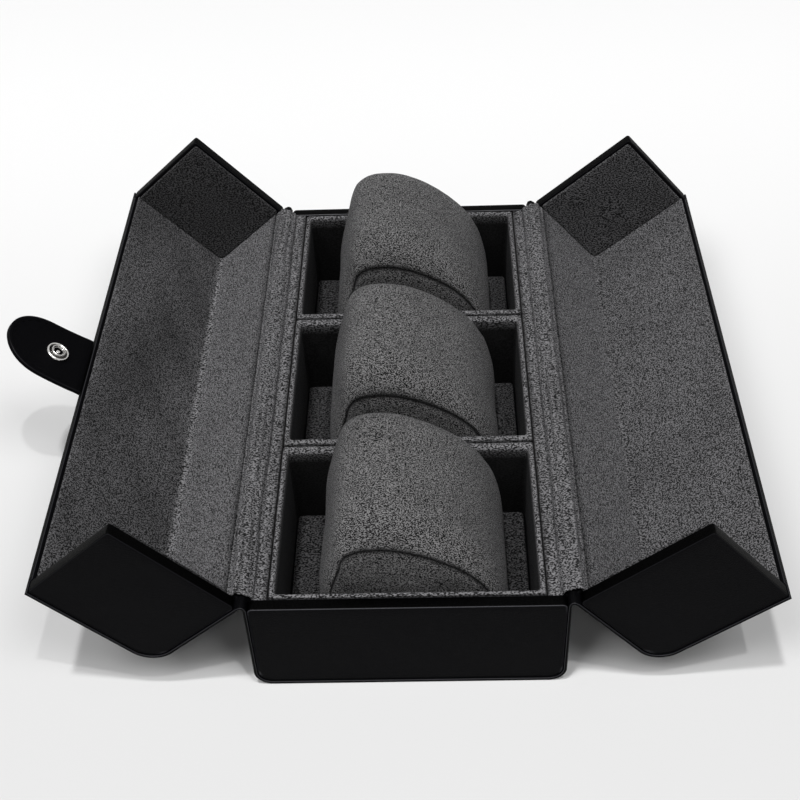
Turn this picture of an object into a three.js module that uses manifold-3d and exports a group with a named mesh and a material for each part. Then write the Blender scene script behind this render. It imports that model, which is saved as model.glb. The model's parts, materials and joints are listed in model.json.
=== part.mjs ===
// Travel case for three watches, standing open: a tray with three compartments, two half lids
// that fold out on leather hinges, a strap with a snap fastener, and three loose cushions.
// Millimetres. X runs across the case, Y along it from front to rear, Z up.
// The origin is the centre of the tray's underside.

import * as THREE from 'three';
import { mergeVertices } from 'three/addons/utils/BufferGeometryUtils.js';
import Module from 'manifold-3d';

// ---------------------------------------------------------------- driving dimensions

const GAP = 0.3;                  // air between pieces that are glued or lie on each other
const LEATHER = 0.9;              // outer skin
const COVER_BOARD = 1.5;          // thin board inside the skin of the tray and lids
const PANEL = 4.2;                // leather covered board that closes each end

const CASE_LENGTH = 212;
const CASE_WIDTH = 101;
const TRAY_HEIGHT = 38.5;
const TRAY_CORNER = 6;            // radius along the tray's lower edges
const CORE_WALL = 4;              // wooden side wall between skin and lining
const TRAY_LINING = 2;            // fabric covered card inside the tray
const RIM_DROP = 1.3;             // the boards stop this far below the rim, under the hinge lining

const DIVIDER = 6.6;
const DIVIDER_TOP = 38;
const PAD_TOP = 6.5;
const PAD_MARGIN = 0.8;

const LID_HEIGHT = 41.4;          // from hinge axis to the lid's top
const LID_REACH = 50.5;           // from hinge axis to the lid's free edge
const LID_CORNER = 9;             // radius along the lid's outer edge
const LID_LINING = 1;
const LID_RIM = 0.6;              // the lid's boards start this far above the hinge axis
const LEFT_LID_OPEN = 132;        // degrees from shut
const RIGHT_LID_OPEN = 139;

const HINGE_OFFSET = 0.5;         // the hinge axis lies this far outside the skin
const HINGE_SKIN_REACH = 1.5;     // flat part of the hinge leather, each side of its bend
const HINGE_LINING = 0.8;

const CUSHION_LENGTH = 59.5;
const CUSHION_CAP = 4;            // thickness of the sewn cap on each end
const CUSHION_CAP_SCALE = 0.86;   // its outline against the body's
const CUSHION_CENTRE_X = 1.5;     // the caps' outline shrinks towards this line, at the bottom

const STRAP_WIDTH = 28;
const STRAP_REACH = 29.5;         // beyond the lid's free edge
const STRAP_LAYER = 0.8;
const STRAP_FOLD = 0.9;           // half the gap that lets the strap fold at the lid's edge
const STRAP_STEP = 2.8;           // the strap steps up over the snap
const STRAP_STEP_LENGTH = 6.5;
const STRAP_DROOP = 12;           // degrees that the open strap stands off the lid
const ANCHOR_LENGTH = 24;
const SNAP_REACH = 11;            // from the lid's free edge to the snap's centre
const SNAP_RADIUS = 5;

// ---------------------------------------------------------------- worked out from them

const HALF_WIDTH = CASE_WIDTH / 2;
const HALF_LENGTH = CASE_LENGTH / 2;
const SKIN_STACK = LEATHER + GAP + COVER_BOARD + GAP;
const FLOOR = SKIN_STACK;
const CORE_OUT = HALF_WIDTH - SKIN_STACK;
const CORE_IN = CORE_OUT - CORE_WALL;
const LINING_OUT = CORE_IN - GAP;
const LINING_IN = LINING_OUT - TRAY_LINING;
const PANEL_OUT = HALF_LENGTH - 0.4;
const PANEL_IN = PANEL_OUT - PANEL;
const END_LINING_OUT = PANEL_IN - GAP;
const END_LINING_IN = END_LINING_OUT - TRAY_LINING;
const BAY = (2 * END_LINING_IN - 2 * DIVIDER) / 3;
const BAY_PITCH = BAY + DIVIDER;
const HINGE_X = HALF_WIDTH + HINGE_OFFSET;
const HINGE_Z = TRAY_HEIGHT + 0.1;
const LID_INNER = HINGE_OFFSET + SKIN_STACK;
const STRAP_THICK = 2 * STRAP_LAYER + GAP;
const CUSHION_BOTTOM = PAD_TOP + 0.5;

const wasm = await Module();
wasm.setup();

// ---------------------------------------------------------------- materials

const finish = (color, roughness, metalness) => () =>
  new THREE.MeshStandardMaterial({ color, roughness, metalness });
const leather = finish(0x131315, 0.42, 0);
const velvet = finish(0x434345, 0.95, 0);
const suede = finish(0x59595c, 0.95, 0);
const board = finish(0x7d6f5c, 0.9, 0);
const metal = finish(0xc4c6ca, 0.25, 1);

// ---------------------------------------------------------------- shape helpers

const radians = THREE.MathUtils.degToRad;

function named(name, geometry, material) {
  const mesh = new THREE.Mesh(geometry, material());
  mesh.name = name;
  return mesh;
}

// A block between two corners.
function block(name, material, low, high) {
  const size = high.map((value, i) => value - low[i]);
  const mesh = named(name, new THREE.BoxGeometry(...size), material);
  mesh.position.set(...low.map((value, i) => (value + high[i]) / 2));
  return mesh;
}

// An X-Z outline carried along Y from one station to another.
function alongY(name, material, shape, front, rear, curveSegments = 8) {
  const options = { depth: rear - front, bevelEnabled: false, curveSegments };
  const mesh = named(name, new THREE.ExtrudeGeometry(shape, options), material);
  mesh.rotation.x = Math.PI / 2;
  mesh.position.y = rear;
  return mesh;
}

// The outline of a strip of even thickness along an open line.
function strip(line, thickness, steps) {
  const left = [];
  const right = [];
  for (let i = 0; i <= steps; i++) {
    const point = line.getPointAt(i / steps);
    const tangent = line.getTangentAt(i / steps);
    const side = new THREE.Vector2(-tangent.y, tangent.x).multiplyScalar(thickness / 2);
    left.push(point.clone().add(side));
    right.push(point.clone().sub(side));
  }
  return new THREE.Shape([...left, ...right.reverse()]);
}

// The same outline with X reversed where the sign is negative.
function facing(shape, sign, divisions = 8) {
  const { shape: points } = shape.extractPoints(divisions);
  return new THREE.Shape(points.map((p) => new THREE.Vector2(sign * p.x, p.y)));
}

// A turned piece: (radius, height) points round the Z axis, closed on themselves or on the axis.
function turned(name, material, points, segments = 32) {
  const profile = points.map(([radius, height]) => new THREE.Vector2(radius, height));
  const mesh = named(name, new THREE.LatheGeometry(profile, segments), material);
  mesh.rotation.x = Math.PI / 2;
  return mesh;
}

function toManifold(geometry) {
  const bare = geometry.clone();
  bare.deleteAttribute('normal');
  bare.deleteAttribute('uv');
  const merged = mergeVertices(bare, 1e-4);
  const vertProperties = new Float32Array(merged.attributes.position.array);
  const triVerts = new Uint32Array(merged.index.array);
  return new wasm.Manifold(new wasm.Mesh({ numProp: 3, vertProperties, triVerts }));
}

function fromManifold(solid) {
  const { vertProperties, triVerts } = solid.getMesh();
  const geometry = new THREE.BufferGeometry();
  geometry.setAttribute('position', new THREE.BufferAttribute(vertProperties, 3));
  geometry.setIndex(new THREE.BufferAttribute(triVerts, 1));
  geometry.computeVertexNormals();
  return geometry;
}

// ---------------------------------------------------------------- tray

// The U of leather under and beside the tray, with rounded lower edges.
function trayLeather() {
  const top = TRAY_HEIGHT - HINGE_SKIN_REACH - GAP + 0.1;
  const inner = HALF_WIDTH - LEATHER;
  const cx = HALF_WIDTH - TRAY_CORNER;
  const rIn = TRAY_CORNER - LEATHER;
  const shape = new THREE.Shape();
  shape.moveTo(-HALF_WIDTH, top);
  shape.lineTo(-HALF_WIDTH, TRAY_CORNER);
  shape.absarc(-cx, TRAY_CORNER, TRAY_CORNER, Math.PI, 1.5 * Math.PI, false);
  shape.lineTo(cx, 0);
  shape.absarc(cx, TRAY_CORNER, TRAY_CORNER, -0.5 * Math.PI, 0, false);
  shape.lineTo(HALF_WIDTH, top);
  shape.lineTo(inner, top);
  shape.lineTo(inner, TRAY_CORNER);
  shape.absarc(cx, TRAY_CORNER, rIn, 0, -0.5 * Math.PI, true);
  shape.lineTo(-cx, LEATHER);
  shape.absarc(-cx, TRAY_CORNER, rIn, -0.5 * Math.PI, -Math.PI, true);
  shape.lineTo(-inner, top);
  return alongY('tray_leather_wrap', leather, shape, -HALF_LENGTH, HALF_LENGTH);
}

// The thin boards inside the leather: one under the tray and one up each side.
function trayBoards() {
  const low = LEATHER + GAP;
  const end = HALF_LENGTH - GAP;
  const flat = HALF_WIDTH - TRAY_CORNER;
  const outer = HALF_WIDTH - low;
  const inner = outer - COVER_BOARD;
  const rim = TRAY_HEIGHT - RIM_DROP;
  return [
    block('tray_bottom_board', board, [-flat, -end, low], [flat, end, low + COVER_BOARD]),
    block('tray_left_board', board, [-outer, -end, TRAY_CORNER], [-inner, end, rim]),
    block('tray_right_board', board, [inner, -end, TRAY_CORNER], [outer, end, rim]),
  ];
}

// A board in leather that closes one end of the tray.
function trayEndPanel(name, front, rear) {
  const radius = TRAY_CORNER - SKIN_STACK;
  const cx = CORE_OUT - radius;
  const shape = new THREE.Shape();
  shape.moveTo(-CORE_OUT, TRAY_HEIGHT);
  shape.lineTo(-CORE_OUT, FLOOR + radius);
  shape.absarc(-cx, FLOOR + radius, radius, Math.PI, 1.5 * Math.PI, false);
  shape.absarc(cx, FLOOR + radius, radius, -0.5 * Math.PI, 0, false);
  shape.lineTo(CORE_OUT, TRAY_HEIGHT);
  return alongY(name, leather, shape, front, rear, 6);
}

function trayWalls() {
  const rim = TRAY_HEIGHT - RIM_DROP;
  const core = END_LINING_OUT;
  const across = LINING_IN - GAP;
  const low = FLOOR + GAP;
  return [
    trayEndPanel('tray_front_panel', -PANEL_OUT, -PANEL_IN),
    trayEndPanel('tray_rear_panel', PANEL_IN, PANEL_OUT),
    block('tray_left_wall', board, [-CORE_OUT, -core, low], [-CORE_IN, core, rim]),
    block('tray_right_wall', board, [CORE_IN, -core, low], [CORE_OUT, core, rim]),
    block('tray_left_lining', velvet, [-LINING_OUT, -core, low], [-LINING_IN, core, TRAY_HEIGHT]),
    block('tray_right_lining', velvet, [LINING_IN, -core, low], [LINING_OUT, core, TRAY_HEIGHT]),
    block('tray_front_lining', velvet,
      [-across, -END_LINING_OUT, low], [across, -END_LINING_IN, TRAY_HEIGHT]),
    block('tray_rear_lining', velvet,
      [-across, END_LINING_IN, low], [across, END_LINING_OUT, TRAY_HEIGHT]),
  ];
}

// Two padded dividers and a pad on the floor of each of the three compartments.
function trayFittings() {
  const across = LINING_IN - GAP;
  const low = FLOOR + GAP;
  const pieces = [];
  for (const [name, side] of [['front', -1], ['rear', 1]]) {
    const y = side * BAY_PITCH / 2;
    pieces.push(block(`${name}_divider`, velvet,
      [-across, y - DIVIDER / 2, low], [across, y + DIVIDER / 2, DIVIDER_TOP]));
  }
  for (const [name, step] of [['front', -1], ['middle', 0], ['rear', 1]]) {
    const x = LINING_IN - PAD_MARGIN;
    const y = step * BAY_PITCH;
    const reach = BAY / 2 - PAD_MARGIN;
    pieces.push(block(`${name}_floor_pad`, velvet, [-x, y - reach, low], [x, y + reach, PAD_TOP]));
  }
  return pieces;
}

// ---------------------------------------------------------------- hinges

// A point given in a lid's own frame (inward, up from the hinge axis), where the open lid holds it.
function onLid(angle, inward, up) {
  return new THREE.Vector2(inward, up).rotateAround(new THREE.Vector2(), radians(angle));
}

// The leather that bends round the hinge axis from the tray's side to the lid's side.
function hingeLeather(name, side, angle) {
  const radius = HINGE_OFFSET + LEATHER / 2;
  const line = new THREE.CurvePath();
  const start = new THREE.Vector2(radius, 0);
  line.add(new THREE.LineCurve(new THREE.Vector2(radius, -HINGE_SKIN_REACH), start));
  line.add(new THREE.EllipseCurve(0, 0, radius, radius, 0, radians(angle), false));
  line.add(new THREE.LineCurve(onLid(angle, radius, 0), onLid(angle, radius, HINGE_SKIN_REACH)));
  return hingeStrip(name, leather, side, strip(line, LEATHER, 40));
}

// The fabric band that covers the hinge inside, from the tray's rim over to the lid's side.
function hingeLining(name, side, angle) {
  const inner = HINGE_X - LINING_OUT - GAP;
  const low = TRAY_HEIGHT - RIM_DROP + GAP + HINGE_LINING / 2 - HINGE_Z;
  const lidFace = LID_INNER + GAP / 2 + HINGE_LINING / 2;
  const line = new THREE.SplineCurve([
    new THREE.Vector2(inner, low),
    new THREE.Vector2(inner - 3.6, low + 0.1),
    new THREE.Vector2(2.2, 1.5),
    onLid(angle, 3.3, -1),
    onLid(angle, lidFace, 0.4),
    onLid(angle, lidFace, 2.4),
  ]);
  return hingeStrip(name, velvet, side, strip(line, HINGE_LINING, 24));
}

function hingeStrip(name, material, side, shape) {
  const mesh = alongY(name, material, facing(shape, -side), -PANEL_IN, PANEL_IN);
  mesh.position.x = side * HINGE_X;
  mesh.position.z = HINGE_Z;
  return mesh;
}

// ---------------------------------------------------------------- lids

// An open L with a rounded corner: outer face at `out`, of even thickness, from the rim to the
// free edge. Coordinates are inward and up from the hinge axis.
function lidSheet(out, thickness, rim, free) {
  const top = LID_HEIGHT - (out - HINGE_OFFSET);
  const radius = LID_CORNER - (out - HINGE_OFFSET);
  const cx = out + radius;
  const cz = top - radius;
  const shape = new THREE.Shape();
  shape.moveTo(out, rim);
  shape.lineTo(out + thickness, rim);
  shape.lineTo(out + thickness, cz);
  shape.absarc(cx, cz, radius - thickness, Math.PI, 0.5 * Math.PI, true);
  shape.lineTo(free, top - thickness);
  shape.lineTo(free, top);
  shape.lineTo(cx, top);
  shape.absarc(cx, cz, radius, 0.5 * Math.PI, Math.PI, false);
  return shape;
}

// The lid's skin is turned down over the board at the free edge.
function lidLeather() {
  const shape = lidSheet(HINGE_OFFSET, LEATHER, HINGE_SKIN_REACH + GAP, LID_REACH - LEATHER);
  const points = shape.extractPoints(8).shape;
  const under = points.findIndex((p) => p.x === LID_REACH - LEATHER && p.y < LID_HEIGHT);
  const lip = LID_HEIGHT - SKIN_STACK + GAP;
  points.splice(under + 1, 1,
    new THREE.Vector2(LID_REACH - LEATHER, lip),
    new THREE.Vector2(LID_REACH, lip),
    new THREE.Vector2(LID_REACH, LID_HEIGHT));
  return new THREE.Shape(points);
}

// A board in leather that closes one end of a lid.
function lidEndShape() {
  const top = LID_HEIGHT - SKIN_STACK;
  const radius = LID_CORNER - SKIN_STACK;
  const shape = new THREE.Shape();
  shape.moveTo(LID_INNER, LID_RIM);
  shape.lineTo(LID_REACH - 0.2, LID_RIM);
  shape.lineTo(LID_REACH - 0.2, top);
  shape.lineTo(LID_INNER + radius, top);
  shape.absarc(LID_INNER + radius, top - radius, radius, 0.5 * Math.PI, Math.PI, false);
  return shape;
}

function blockShape(x0, z0, x1, z1) {
  const corners = [[x0, z0], [x1, z0], [x1, z1], [x0, z1]];
  return new THREE.Shape(corners.map(([x, z]) => new THREE.Vector2(x, z)));
}

// The fabric covered card inside a lid's top, with the rounded corner.
function lidTopLining(split) {
  return lidSheet(LID_INNER, LID_LINING, split, LID_REACH - 1);
}

function buildLid(name, side, angle) {
  const group = new THREE.Group();
  group.position.set(side * HINGE_X, 0, HINGE_Z);
  group.rotation.y = side * radians(angle);
  const boardOut = HINGE_OFFSET + LEATHER + GAP;
  const boardEnd = LID_REACH - LEATHER - GAP;
  const endLining = PANEL_IN - GAP - LID_LINING;
  const split = LID_HEIGHT - LID_CORNER - 1;
  const endCard = blockShape(LID_INNER + LID_CORNER - SKIN_STACK, 3,
    LID_REACH - 1, LID_HEIGHT - SKIN_STACK - LID_LINING - GAP);
  const add = (part, material, shape, front, rear) =>
    group.add(alongY(`${name}_${part}`, material, facing(shape, -side), front, rear));
  add('leather', leather, lidLeather(), -HALF_LENGTH, HALF_LENGTH);
  add('board', board, lidSheet(boardOut, COVER_BOARD, LID_RIM, boardEnd),
    -HALF_LENGTH + GAP, HALF_LENGTH - GAP);
  add('front_panel', leather, lidEndShape(), -PANEL_OUT, -PANEL_IN);
  add('rear_panel', leather, lidEndShape(), PANEL_IN, PANEL_OUT);
  add('side_lining', velvet, blockShape(LID_INNER, 3.1, LID_INNER + LID_LINING, split - GAP),
    -PANEL_IN + GAP, PANEL_IN - GAP);
  add('top_lining', velvet, lidTopLining(split), -PANEL_IN + GAP, PANEL_IN - GAP);
  add('front_lining', velvet, endCard, -PANEL_IN + GAP, -endLining);
  add('rear_lining', velvet, endCard, endLining, PANEL_IN - GAP);
  return group;
}

// ---------------------------------------------------------------- strap and snap

// One layer of the strap: a side view that steps up over the snap, cut to the plan outline.
function strapLayer(name, centre) {
  const line = new THREE.CurvePath();
  const rise = new THREE.Vector2(STRAP_FOLD + STRAP_STEP_LENGTH, STRAP_STEP + centre);
  line.add(new THREE.CubicBezierCurve(
    new THREE.Vector2(STRAP_FOLD, centre),
    new THREE.Vector2(STRAP_FOLD + 0.45 * STRAP_STEP_LENGTH, centre),
    new THREE.Vector2(STRAP_FOLD + 0.55 * STRAP_STEP_LENGTH, STRAP_STEP + centre),
    rise));
  line.add(new THREE.LineCurve(rise, new THREE.Vector2(STRAP_REACH + 1, rise.y)));
  const side = strip(line, STRAP_LAYER, 32);
  const length = STRAP_WIDTH + 2;
  const view = new THREE.ExtrudeGeometry(side, { depth: length, bevelEnabled: false });
  view.rotateX(Math.PI / 2).translate(0, length / 2, 0);
  const plan = new THREE.ExtrudeGeometry(strapOutline(),
    { depth: 12, bevelEnabled: false, curveSegments: 12 });
  plan.translate(0, 0, -4);
  const solid = toManifold(view).intersect(toManifold(plan));
  return named(name, fromManifold(solid), leather);
}

// The strap's plan: square at the fold, rounded at the tip, with a hole for the snap's post.
function strapOutline() {
  const half = STRAP_WIDTH / 2;
  const corner = 11;
  const shape = new THREE.Shape();
  shape.moveTo(0, -half);
  shape.lineTo(STRAP_REACH - corner, -half);
  shape.bezierCurveTo(STRAP_REACH - 2.5, -half, STRAP_REACH, -half + 5, STRAP_REACH, 0);
  shape.bezierCurveTo(STRAP_REACH, half - 5, STRAP_REACH - 2.5, half, STRAP_REACH - corner, half);
  shape.lineTo(0, half);
  const hole = new THREE.Path();
  hole.absarc(SNAP_REACH, 0, 1.9, 0, 2 * Math.PI, true);
  shape.holes.push(hole);
  return shape;
}

// Domed cap outside the strap, with the post that holds the socket on.
function snapCap(faceOut, plate) {
  return turned('snap_cap', metal, [
    [0, plate], [1.5, plate], [1.5, faceOut], [SNAP_RADIUS + 0.2, faceOut],
    [SNAP_RADIUS + 0.4, faceOut + 0.5], [SNAP_RADIUS - 0.4, faceOut + 1],
    [SNAP_RADIUS * 0.55, faceOut + 1.4], [0, faceOut + 1.55],
  ]);
}

// Ring that the stud enters, with a rolled lip.
function snapSocket(top, depth) {
  const bottom = top - depth;
  return turned('snap_socket', metal, [
    [1.9, top - 0.5], [2.9, top - 0.5], [2.9, bottom + 0.25], [3.15, bottom],
    [4.1, bottom], [4.6, bottom + 0.35], [SNAP_RADIUS, top - 0.45], [SNAP_RADIUS, top],
    [1.9, top], [1.9, top - 0.5],
  ]);
}

// Wire ring inside the socket that grips the stud's neck.
function snapSpring(height) {
  const ring = new THREE.TorusGeometry(2.45, 0.14, 8, 32);
  const mesh = named('snap_spring', ring, metal);
  mesh.position.z = height;
  return mesh;
}

function snapStud() {
  const stud = turned('snap_stud', metal, [
    [0, 0], [4.2, 0], [4.3, 0.2], [3.9, 0.5], [1.7, 0.5], [1.55, 0.85],
    [1.95, 1.2], [1.9, 1.5], [1.4, 1.7], [0, 1.75],
  ]);
  return stud;
}

// The strap's fixed end on the left lid's top and its free part, standing off the lid.
function addStrap(lid) {
  const surface = LID_HEIGHT + GAP;
  const half = STRAP_WIDTH / 2;
  lid.add(block('strap_anchor', leather,
    [LID_REACH - ANCHOR_LENGTH, -half, surface],
    [LID_REACH - STRAP_FOLD, half, surface + STRAP_THICK]));
  const group = new THREE.Group();
  group.position.set(LID_REACH, 0, surface + STRAP_THICK / 2);
  group.rotation.y = -radians(STRAP_DROOP);
  const layerCentre = (STRAP_LAYER + GAP) / 2;
  group.add(strapLayer('strap_outer_layer', layerCentre));
  group.add(strapLayer('strap_inner_layer', -layerCentre));
  const face = STRAP_THICK / 2 + GAP;
  const socketTop = STRAP_STEP - face;
  const snap = new THREE.Group();
  snap.position.x = SNAP_REACH;
  snap.add(snapCap(STRAP_STEP + face, socketTop - 0.5));
  snap.add(snapSocket(socketTop, 1.7));
  snap.add(snapSpring(socketTop - 1.1));
  group.add(snap);
  lid.add(group);
}

function addStud(lid) {
  const stud = snapStud();
  const gapAtCentre = 2 * (HINGE_X - LID_REACH);
  stud.position.set(-(LID_REACH + gapAtCentre - SNAP_REACH), 0, LID_HEIGHT + GAP);
  lid.add(stud);
}

// ---------------------------------------------------------------- cushions

// End view: flat under, upright on the left, a high shoulder, and a long slope to the right.
function cushionProfile() {
  const shape = new THREE.Shape();
  const z = CUSHION_BOTTOM;
  shape.moveTo(-26, z);
  shape.lineTo(30, z);
  shape.bezierCurveTo(32.2, z, 33.2, z + 4, 33.2, z + 10);
  shape.bezierCurveTo(33.2, 31, 25.5, 47, 12.5, 57);
  shape.bezierCurveTo(6, 62, -1.5, 66, -9, 66);
  shape.bezierCurveTo(-17.5, 66, -22.5, 63, -24, 54);
  shape.bezierCurveTo(-25.5, 45, -29.4, 36, -29.4, 24);
  shape.bezierCurveTo(-29.4, 14, -29, z, -26, z);
  return shape;
}

// The stuffed body, and a smaller sewn cap on each end.
function addCushion(scene, name, y) {
  const end = CUSHION_LENGTH / 2;
  const inner = end - CUSHION_CAP;
  const body = inner - GAP;
  scene.add(alongY(`${name}_cover`, suede, cushionProfile(), y - body, y + body, 6));
  const centre = new THREE.Vector2(CUSHION_CENTRE_X, CUSHION_BOTTOM);
  const outline = cushionProfile().extractPoints(4).shape;
  const cap = new THREE.Shape(outline.map((p) =>
    p.clone().sub(centre).multiplyScalar(CUSHION_CAP_SCALE).add(centre)));
  scene.add(alongY(`${name}_front_cap`, suede, cap, y - end, y - inner));
  scene.add(alongY(`${name}_rear_cap`, suede, cap, y + inner, y + end));
}

// ---------------------------------------------------------------- assembly

const watchCase = new THREE.Group();
watchCase.add(trayLeather(), ...trayBoards(), ...trayWalls(), ...trayFittings());

watchCase.add(hingeLeather('left_hinge_leather', -1, LEFT_LID_OPEN));
watchCase.add(hingeLining('left_hinge_lining', -1, LEFT_LID_OPEN));
watchCase.add(hingeLeather('right_hinge_leather', 1, RIGHT_LID_OPEN));
watchCase.add(hingeLining('right_hinge_lining', 1, RIGHT_LID_OPEN));

const leftLid = buildLid('left_lid', -1, LEFT_LID_OPEN);
addStrap(leftLid);
const rightLid = buildLid('right_lid', 1, RIGHT_LID_OPEN);
addStud(rightLid);
watchCase.add(leftLid, rightLid);

addCushion(watchCase, 'front_cushion', -BAY_PITCH);
addCushion(watchCase, 'middle_cushion', 0);
addCushion(watchCase, 'rear_cushion', BAY_PITCH);

export default watchCase;
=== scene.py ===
"""Travel case for three watches: leather skins, velvet linings, suede cushions and a snap strap.

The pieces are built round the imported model. Shapes are worked out in millimetres and put into the meshes in metres.
"""

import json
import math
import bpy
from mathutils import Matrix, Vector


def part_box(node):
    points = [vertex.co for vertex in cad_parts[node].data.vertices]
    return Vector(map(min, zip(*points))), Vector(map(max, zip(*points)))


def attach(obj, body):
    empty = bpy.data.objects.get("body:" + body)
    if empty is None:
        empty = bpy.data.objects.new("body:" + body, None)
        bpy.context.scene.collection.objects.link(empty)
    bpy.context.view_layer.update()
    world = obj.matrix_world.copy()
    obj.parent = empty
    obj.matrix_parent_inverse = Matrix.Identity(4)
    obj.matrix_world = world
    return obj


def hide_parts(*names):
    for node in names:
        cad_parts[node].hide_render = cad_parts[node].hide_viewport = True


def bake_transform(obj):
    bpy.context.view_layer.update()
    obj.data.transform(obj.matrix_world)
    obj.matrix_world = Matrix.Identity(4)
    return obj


bl_info = {
    "name": "Travel watch case",
    "version": (1, 0, 0),
    "blender": (4, 5, 0),
    "location": "3D View > Sidebar > Watch case",
    "description": "Builds an open travel case for three watches over its packed model",
    "category": "Object",
}

from types import SimpleNamespace

import bpy
import numpy as np
from mathutils import Matrix, Vector

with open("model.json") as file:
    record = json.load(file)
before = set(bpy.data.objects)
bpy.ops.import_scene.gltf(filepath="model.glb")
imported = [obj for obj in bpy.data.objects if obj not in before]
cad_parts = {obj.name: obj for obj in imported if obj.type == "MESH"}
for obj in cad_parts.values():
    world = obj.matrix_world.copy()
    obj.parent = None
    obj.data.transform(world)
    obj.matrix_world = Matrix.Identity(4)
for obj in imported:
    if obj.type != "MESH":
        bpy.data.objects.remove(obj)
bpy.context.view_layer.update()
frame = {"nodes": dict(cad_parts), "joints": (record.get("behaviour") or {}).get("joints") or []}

MM = 0.001
LEFT, RIGHT = -1, 1
SIDES = {LEFT: "left", RIGHT: "right"}
ENDS = ("front", "rear")
BAYS = ("front", "middle", "rear")
JOINTS = {joint["name"]: joint for joint in frame["joints"]}

# distances between vertices, in millimetres
LEATHER_PITCH = 3.0
LINING_PITCH = 2.4
CREASED_PITCH = 0.4  # where the leather goes over into the hinge

# how far from an edge or a seam an unevenness is at its full height, in millimetres
SKIN_FADE = 8
PANEL_FADE = 6

# the strap and its snap, in millimetres
STRAP_THICK = 1.9
STRAP_STEP = 1.8  # how far the strap's middle stands off its place at the snap
STRAP_TIP = 15.5  # length of its rounded end
STRAP_RIM = 0.5
SNAP_REACH = 10.5  # from the fold to the snap's centre

# the cushions
SEAM_INSET = 0.9  # from a cushion's end to its seam, in millimetres
BAY_HEIGHTS = {"front": 1.0, "middle": 1.0, "rear": 1.045}  # a cushion's height, as a share of its node's
POLE_X = 1.5  # middle of the flat underside, in millimetres


# ---------------------------------------------------------------- places

def span(node):
    """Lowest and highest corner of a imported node, in millimetres."""
    low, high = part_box(node)
    return np.array(low) / MM, np.array(high) / MM


class LidPlace:
    """A lid's own frame: inward and up from its hinge axis while shut, then turned open by the joint's travel."""

    def __init__(self, side):
        joint = JOINTS[f"{SIDES[side]}_lid_hinge"]
        self.side = side
        self.name = f"{SIDES[side]}_lid"
        self.x, _, self.z = np.array(joint["pos_m"]) / MM
        self.open = math.radians(-joint["range_deg"][0])

    def turned(self, inward, up):
        """A point of the shut lid, where the open lid holds it, still measured from the hinge axis."""
        c, s = math.cos(self.open), math.sin(self.open)
        return inward * c - up * s, inward * s + up * c

    def shut(self, x, z):
        """Where a point of the open lid lies while it's shut: inward and up from the hinge axis."""
        a, b = self.side * (self.x - x), z - self.z
        c, s = math.cos(self.open), math.sin(self.open)
        return a * c + b * s, b * c - a * s

    def row(self, inward, y, up):
        """Points given from the hinge axis, in the whole object's frame."""
        inward, y, up = np.broadcast_arrays(inward, y, up)
        return np.stack([self.x - self.side * inward, y, self.z + up], -1)

    def lid(self, inward, y, up):
        """Points of the shut lid, where the open lid holds them."""
        a, b = self.turned(np.asarray(inward, float), np.asarray(up, float))
        return self.row(a, y, b)

    def direction(self, inward, up):
        """A direction given in the hinge's section, in the whole object's frame."""
        inward, up = np.broadcast_arrays(inward, up)
        return np.stack([-self.side * inward, np.zeros(inward.shape), up], -1)

    def lid_direction(self, inward, up):
        a, b = self.turned(np.asarray(inward, float), np.asarray(up, float))
        return self.direction(a, b)

    def fold(self, radius):
        """Where a sheet that bends round the axis at this radius starts and stops bending, in metres."""
        half = self.open / 2
        reach = radius * math.sin(half)
        across = np.array([-math.sin(half), math.cos(half)])
        ends = [self.row(sign * reach * across[0], 0.0, sign * reach * across[1]) for sign in (-1, 1)]
        return tuple(ends[0] * MM), tuple(ends[1] * MM)


def read_points(mesh):
    values = np.empty(len(mesh.vertices) * 3, np.float32)
    mesh.vertices.foreach_get("co", values)
    return values.reshape(-1, 3).astype(float)


def in_lid_frame(node):
    """Limits of one of the left lid's nodes while the lid is shut: inward and up from the hinge axis."""
    points = read_points(frame["nodes"][node].data) / MM
    u, w = LidPlace(LEFT).shut(points[:, 0], points[:, 2])
    return (u.min(), w.min()), (u.max(), w.max())


# a lid's free edge and top, the inner face of its side, and how much leather, board and card stand outside that face
LID_REACH, LID_TOP = in_lid_frame("left_lid_leather")[1]
LID_INNER = in_lid_frame("left_lid_side_lining")[0][0]
LID_STACK = LID_INNER - in_lid_frame("left_lid_leather")[0][0]


# ---------------------------------------------------------------- numbers along lines

def eased(t):
    """0 to 1 with level ends: 3t^2 - 2t^3."""
    t = np.clip(t, 0, 1)
    return t * t * (3 - 2 * t)


def bell(distance, width):
    """1 at no distance, and falling off either side: exp(-(distance / width)^2)."""
    return np.exp(-((distance / width) ** 2))


def stations(length, rim, pitch):
    """Distances along an edge: within `rim` of each end they stand as on a quarter circle, then `pitch` apart."""
    turn = rim * (1 - np.cos(np.linspace(0, np.pi / 2, 5)))
    count = max(2, int(round((length - 2 * rim) / pitch)) + 1)
    middle = np.linspace(rim, length - rim, count)[1:-1]
    return np.concatenate([turn, middle, length - turn[::-1]])


def spread(length, rims, pitch):
    """Stations for more than one rim width, without near doubles."""
    values = np.sort(np.concatenate([stations(length, rim, pitch) for rim in rims]))
    keep = np.concatenate([[True], np.diff(values) > 0.02])
    keep[-1] = True
    kept = values[keep]
    return np.delete(kept, -2) if kept[-1] - kept[-2] < 0.02 else kept


def ripple(a, b, seed, longest=60, shortest=14, waves=7):
    """Slow unevenness, about -1 to 1: a sum of sine waves of seeded length and heading over two distances. Each
    piece has seeds of its own."""
    rng = np.random.default_rng(seed)
    total = np.zeros(np.broadcast(a, b).shape)
    for _ in range(waves):
        length = rng.uniform(shortest, longest)
        heading, phase = rng.uniform(0, 2 * np.pi, 2)
        total += np.sin(2 * np.pi * (a * np.cos(heading) + b * np.sin(heading)) / length + phase)
    return total / math.sqrt(waves) / 1.5


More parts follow.
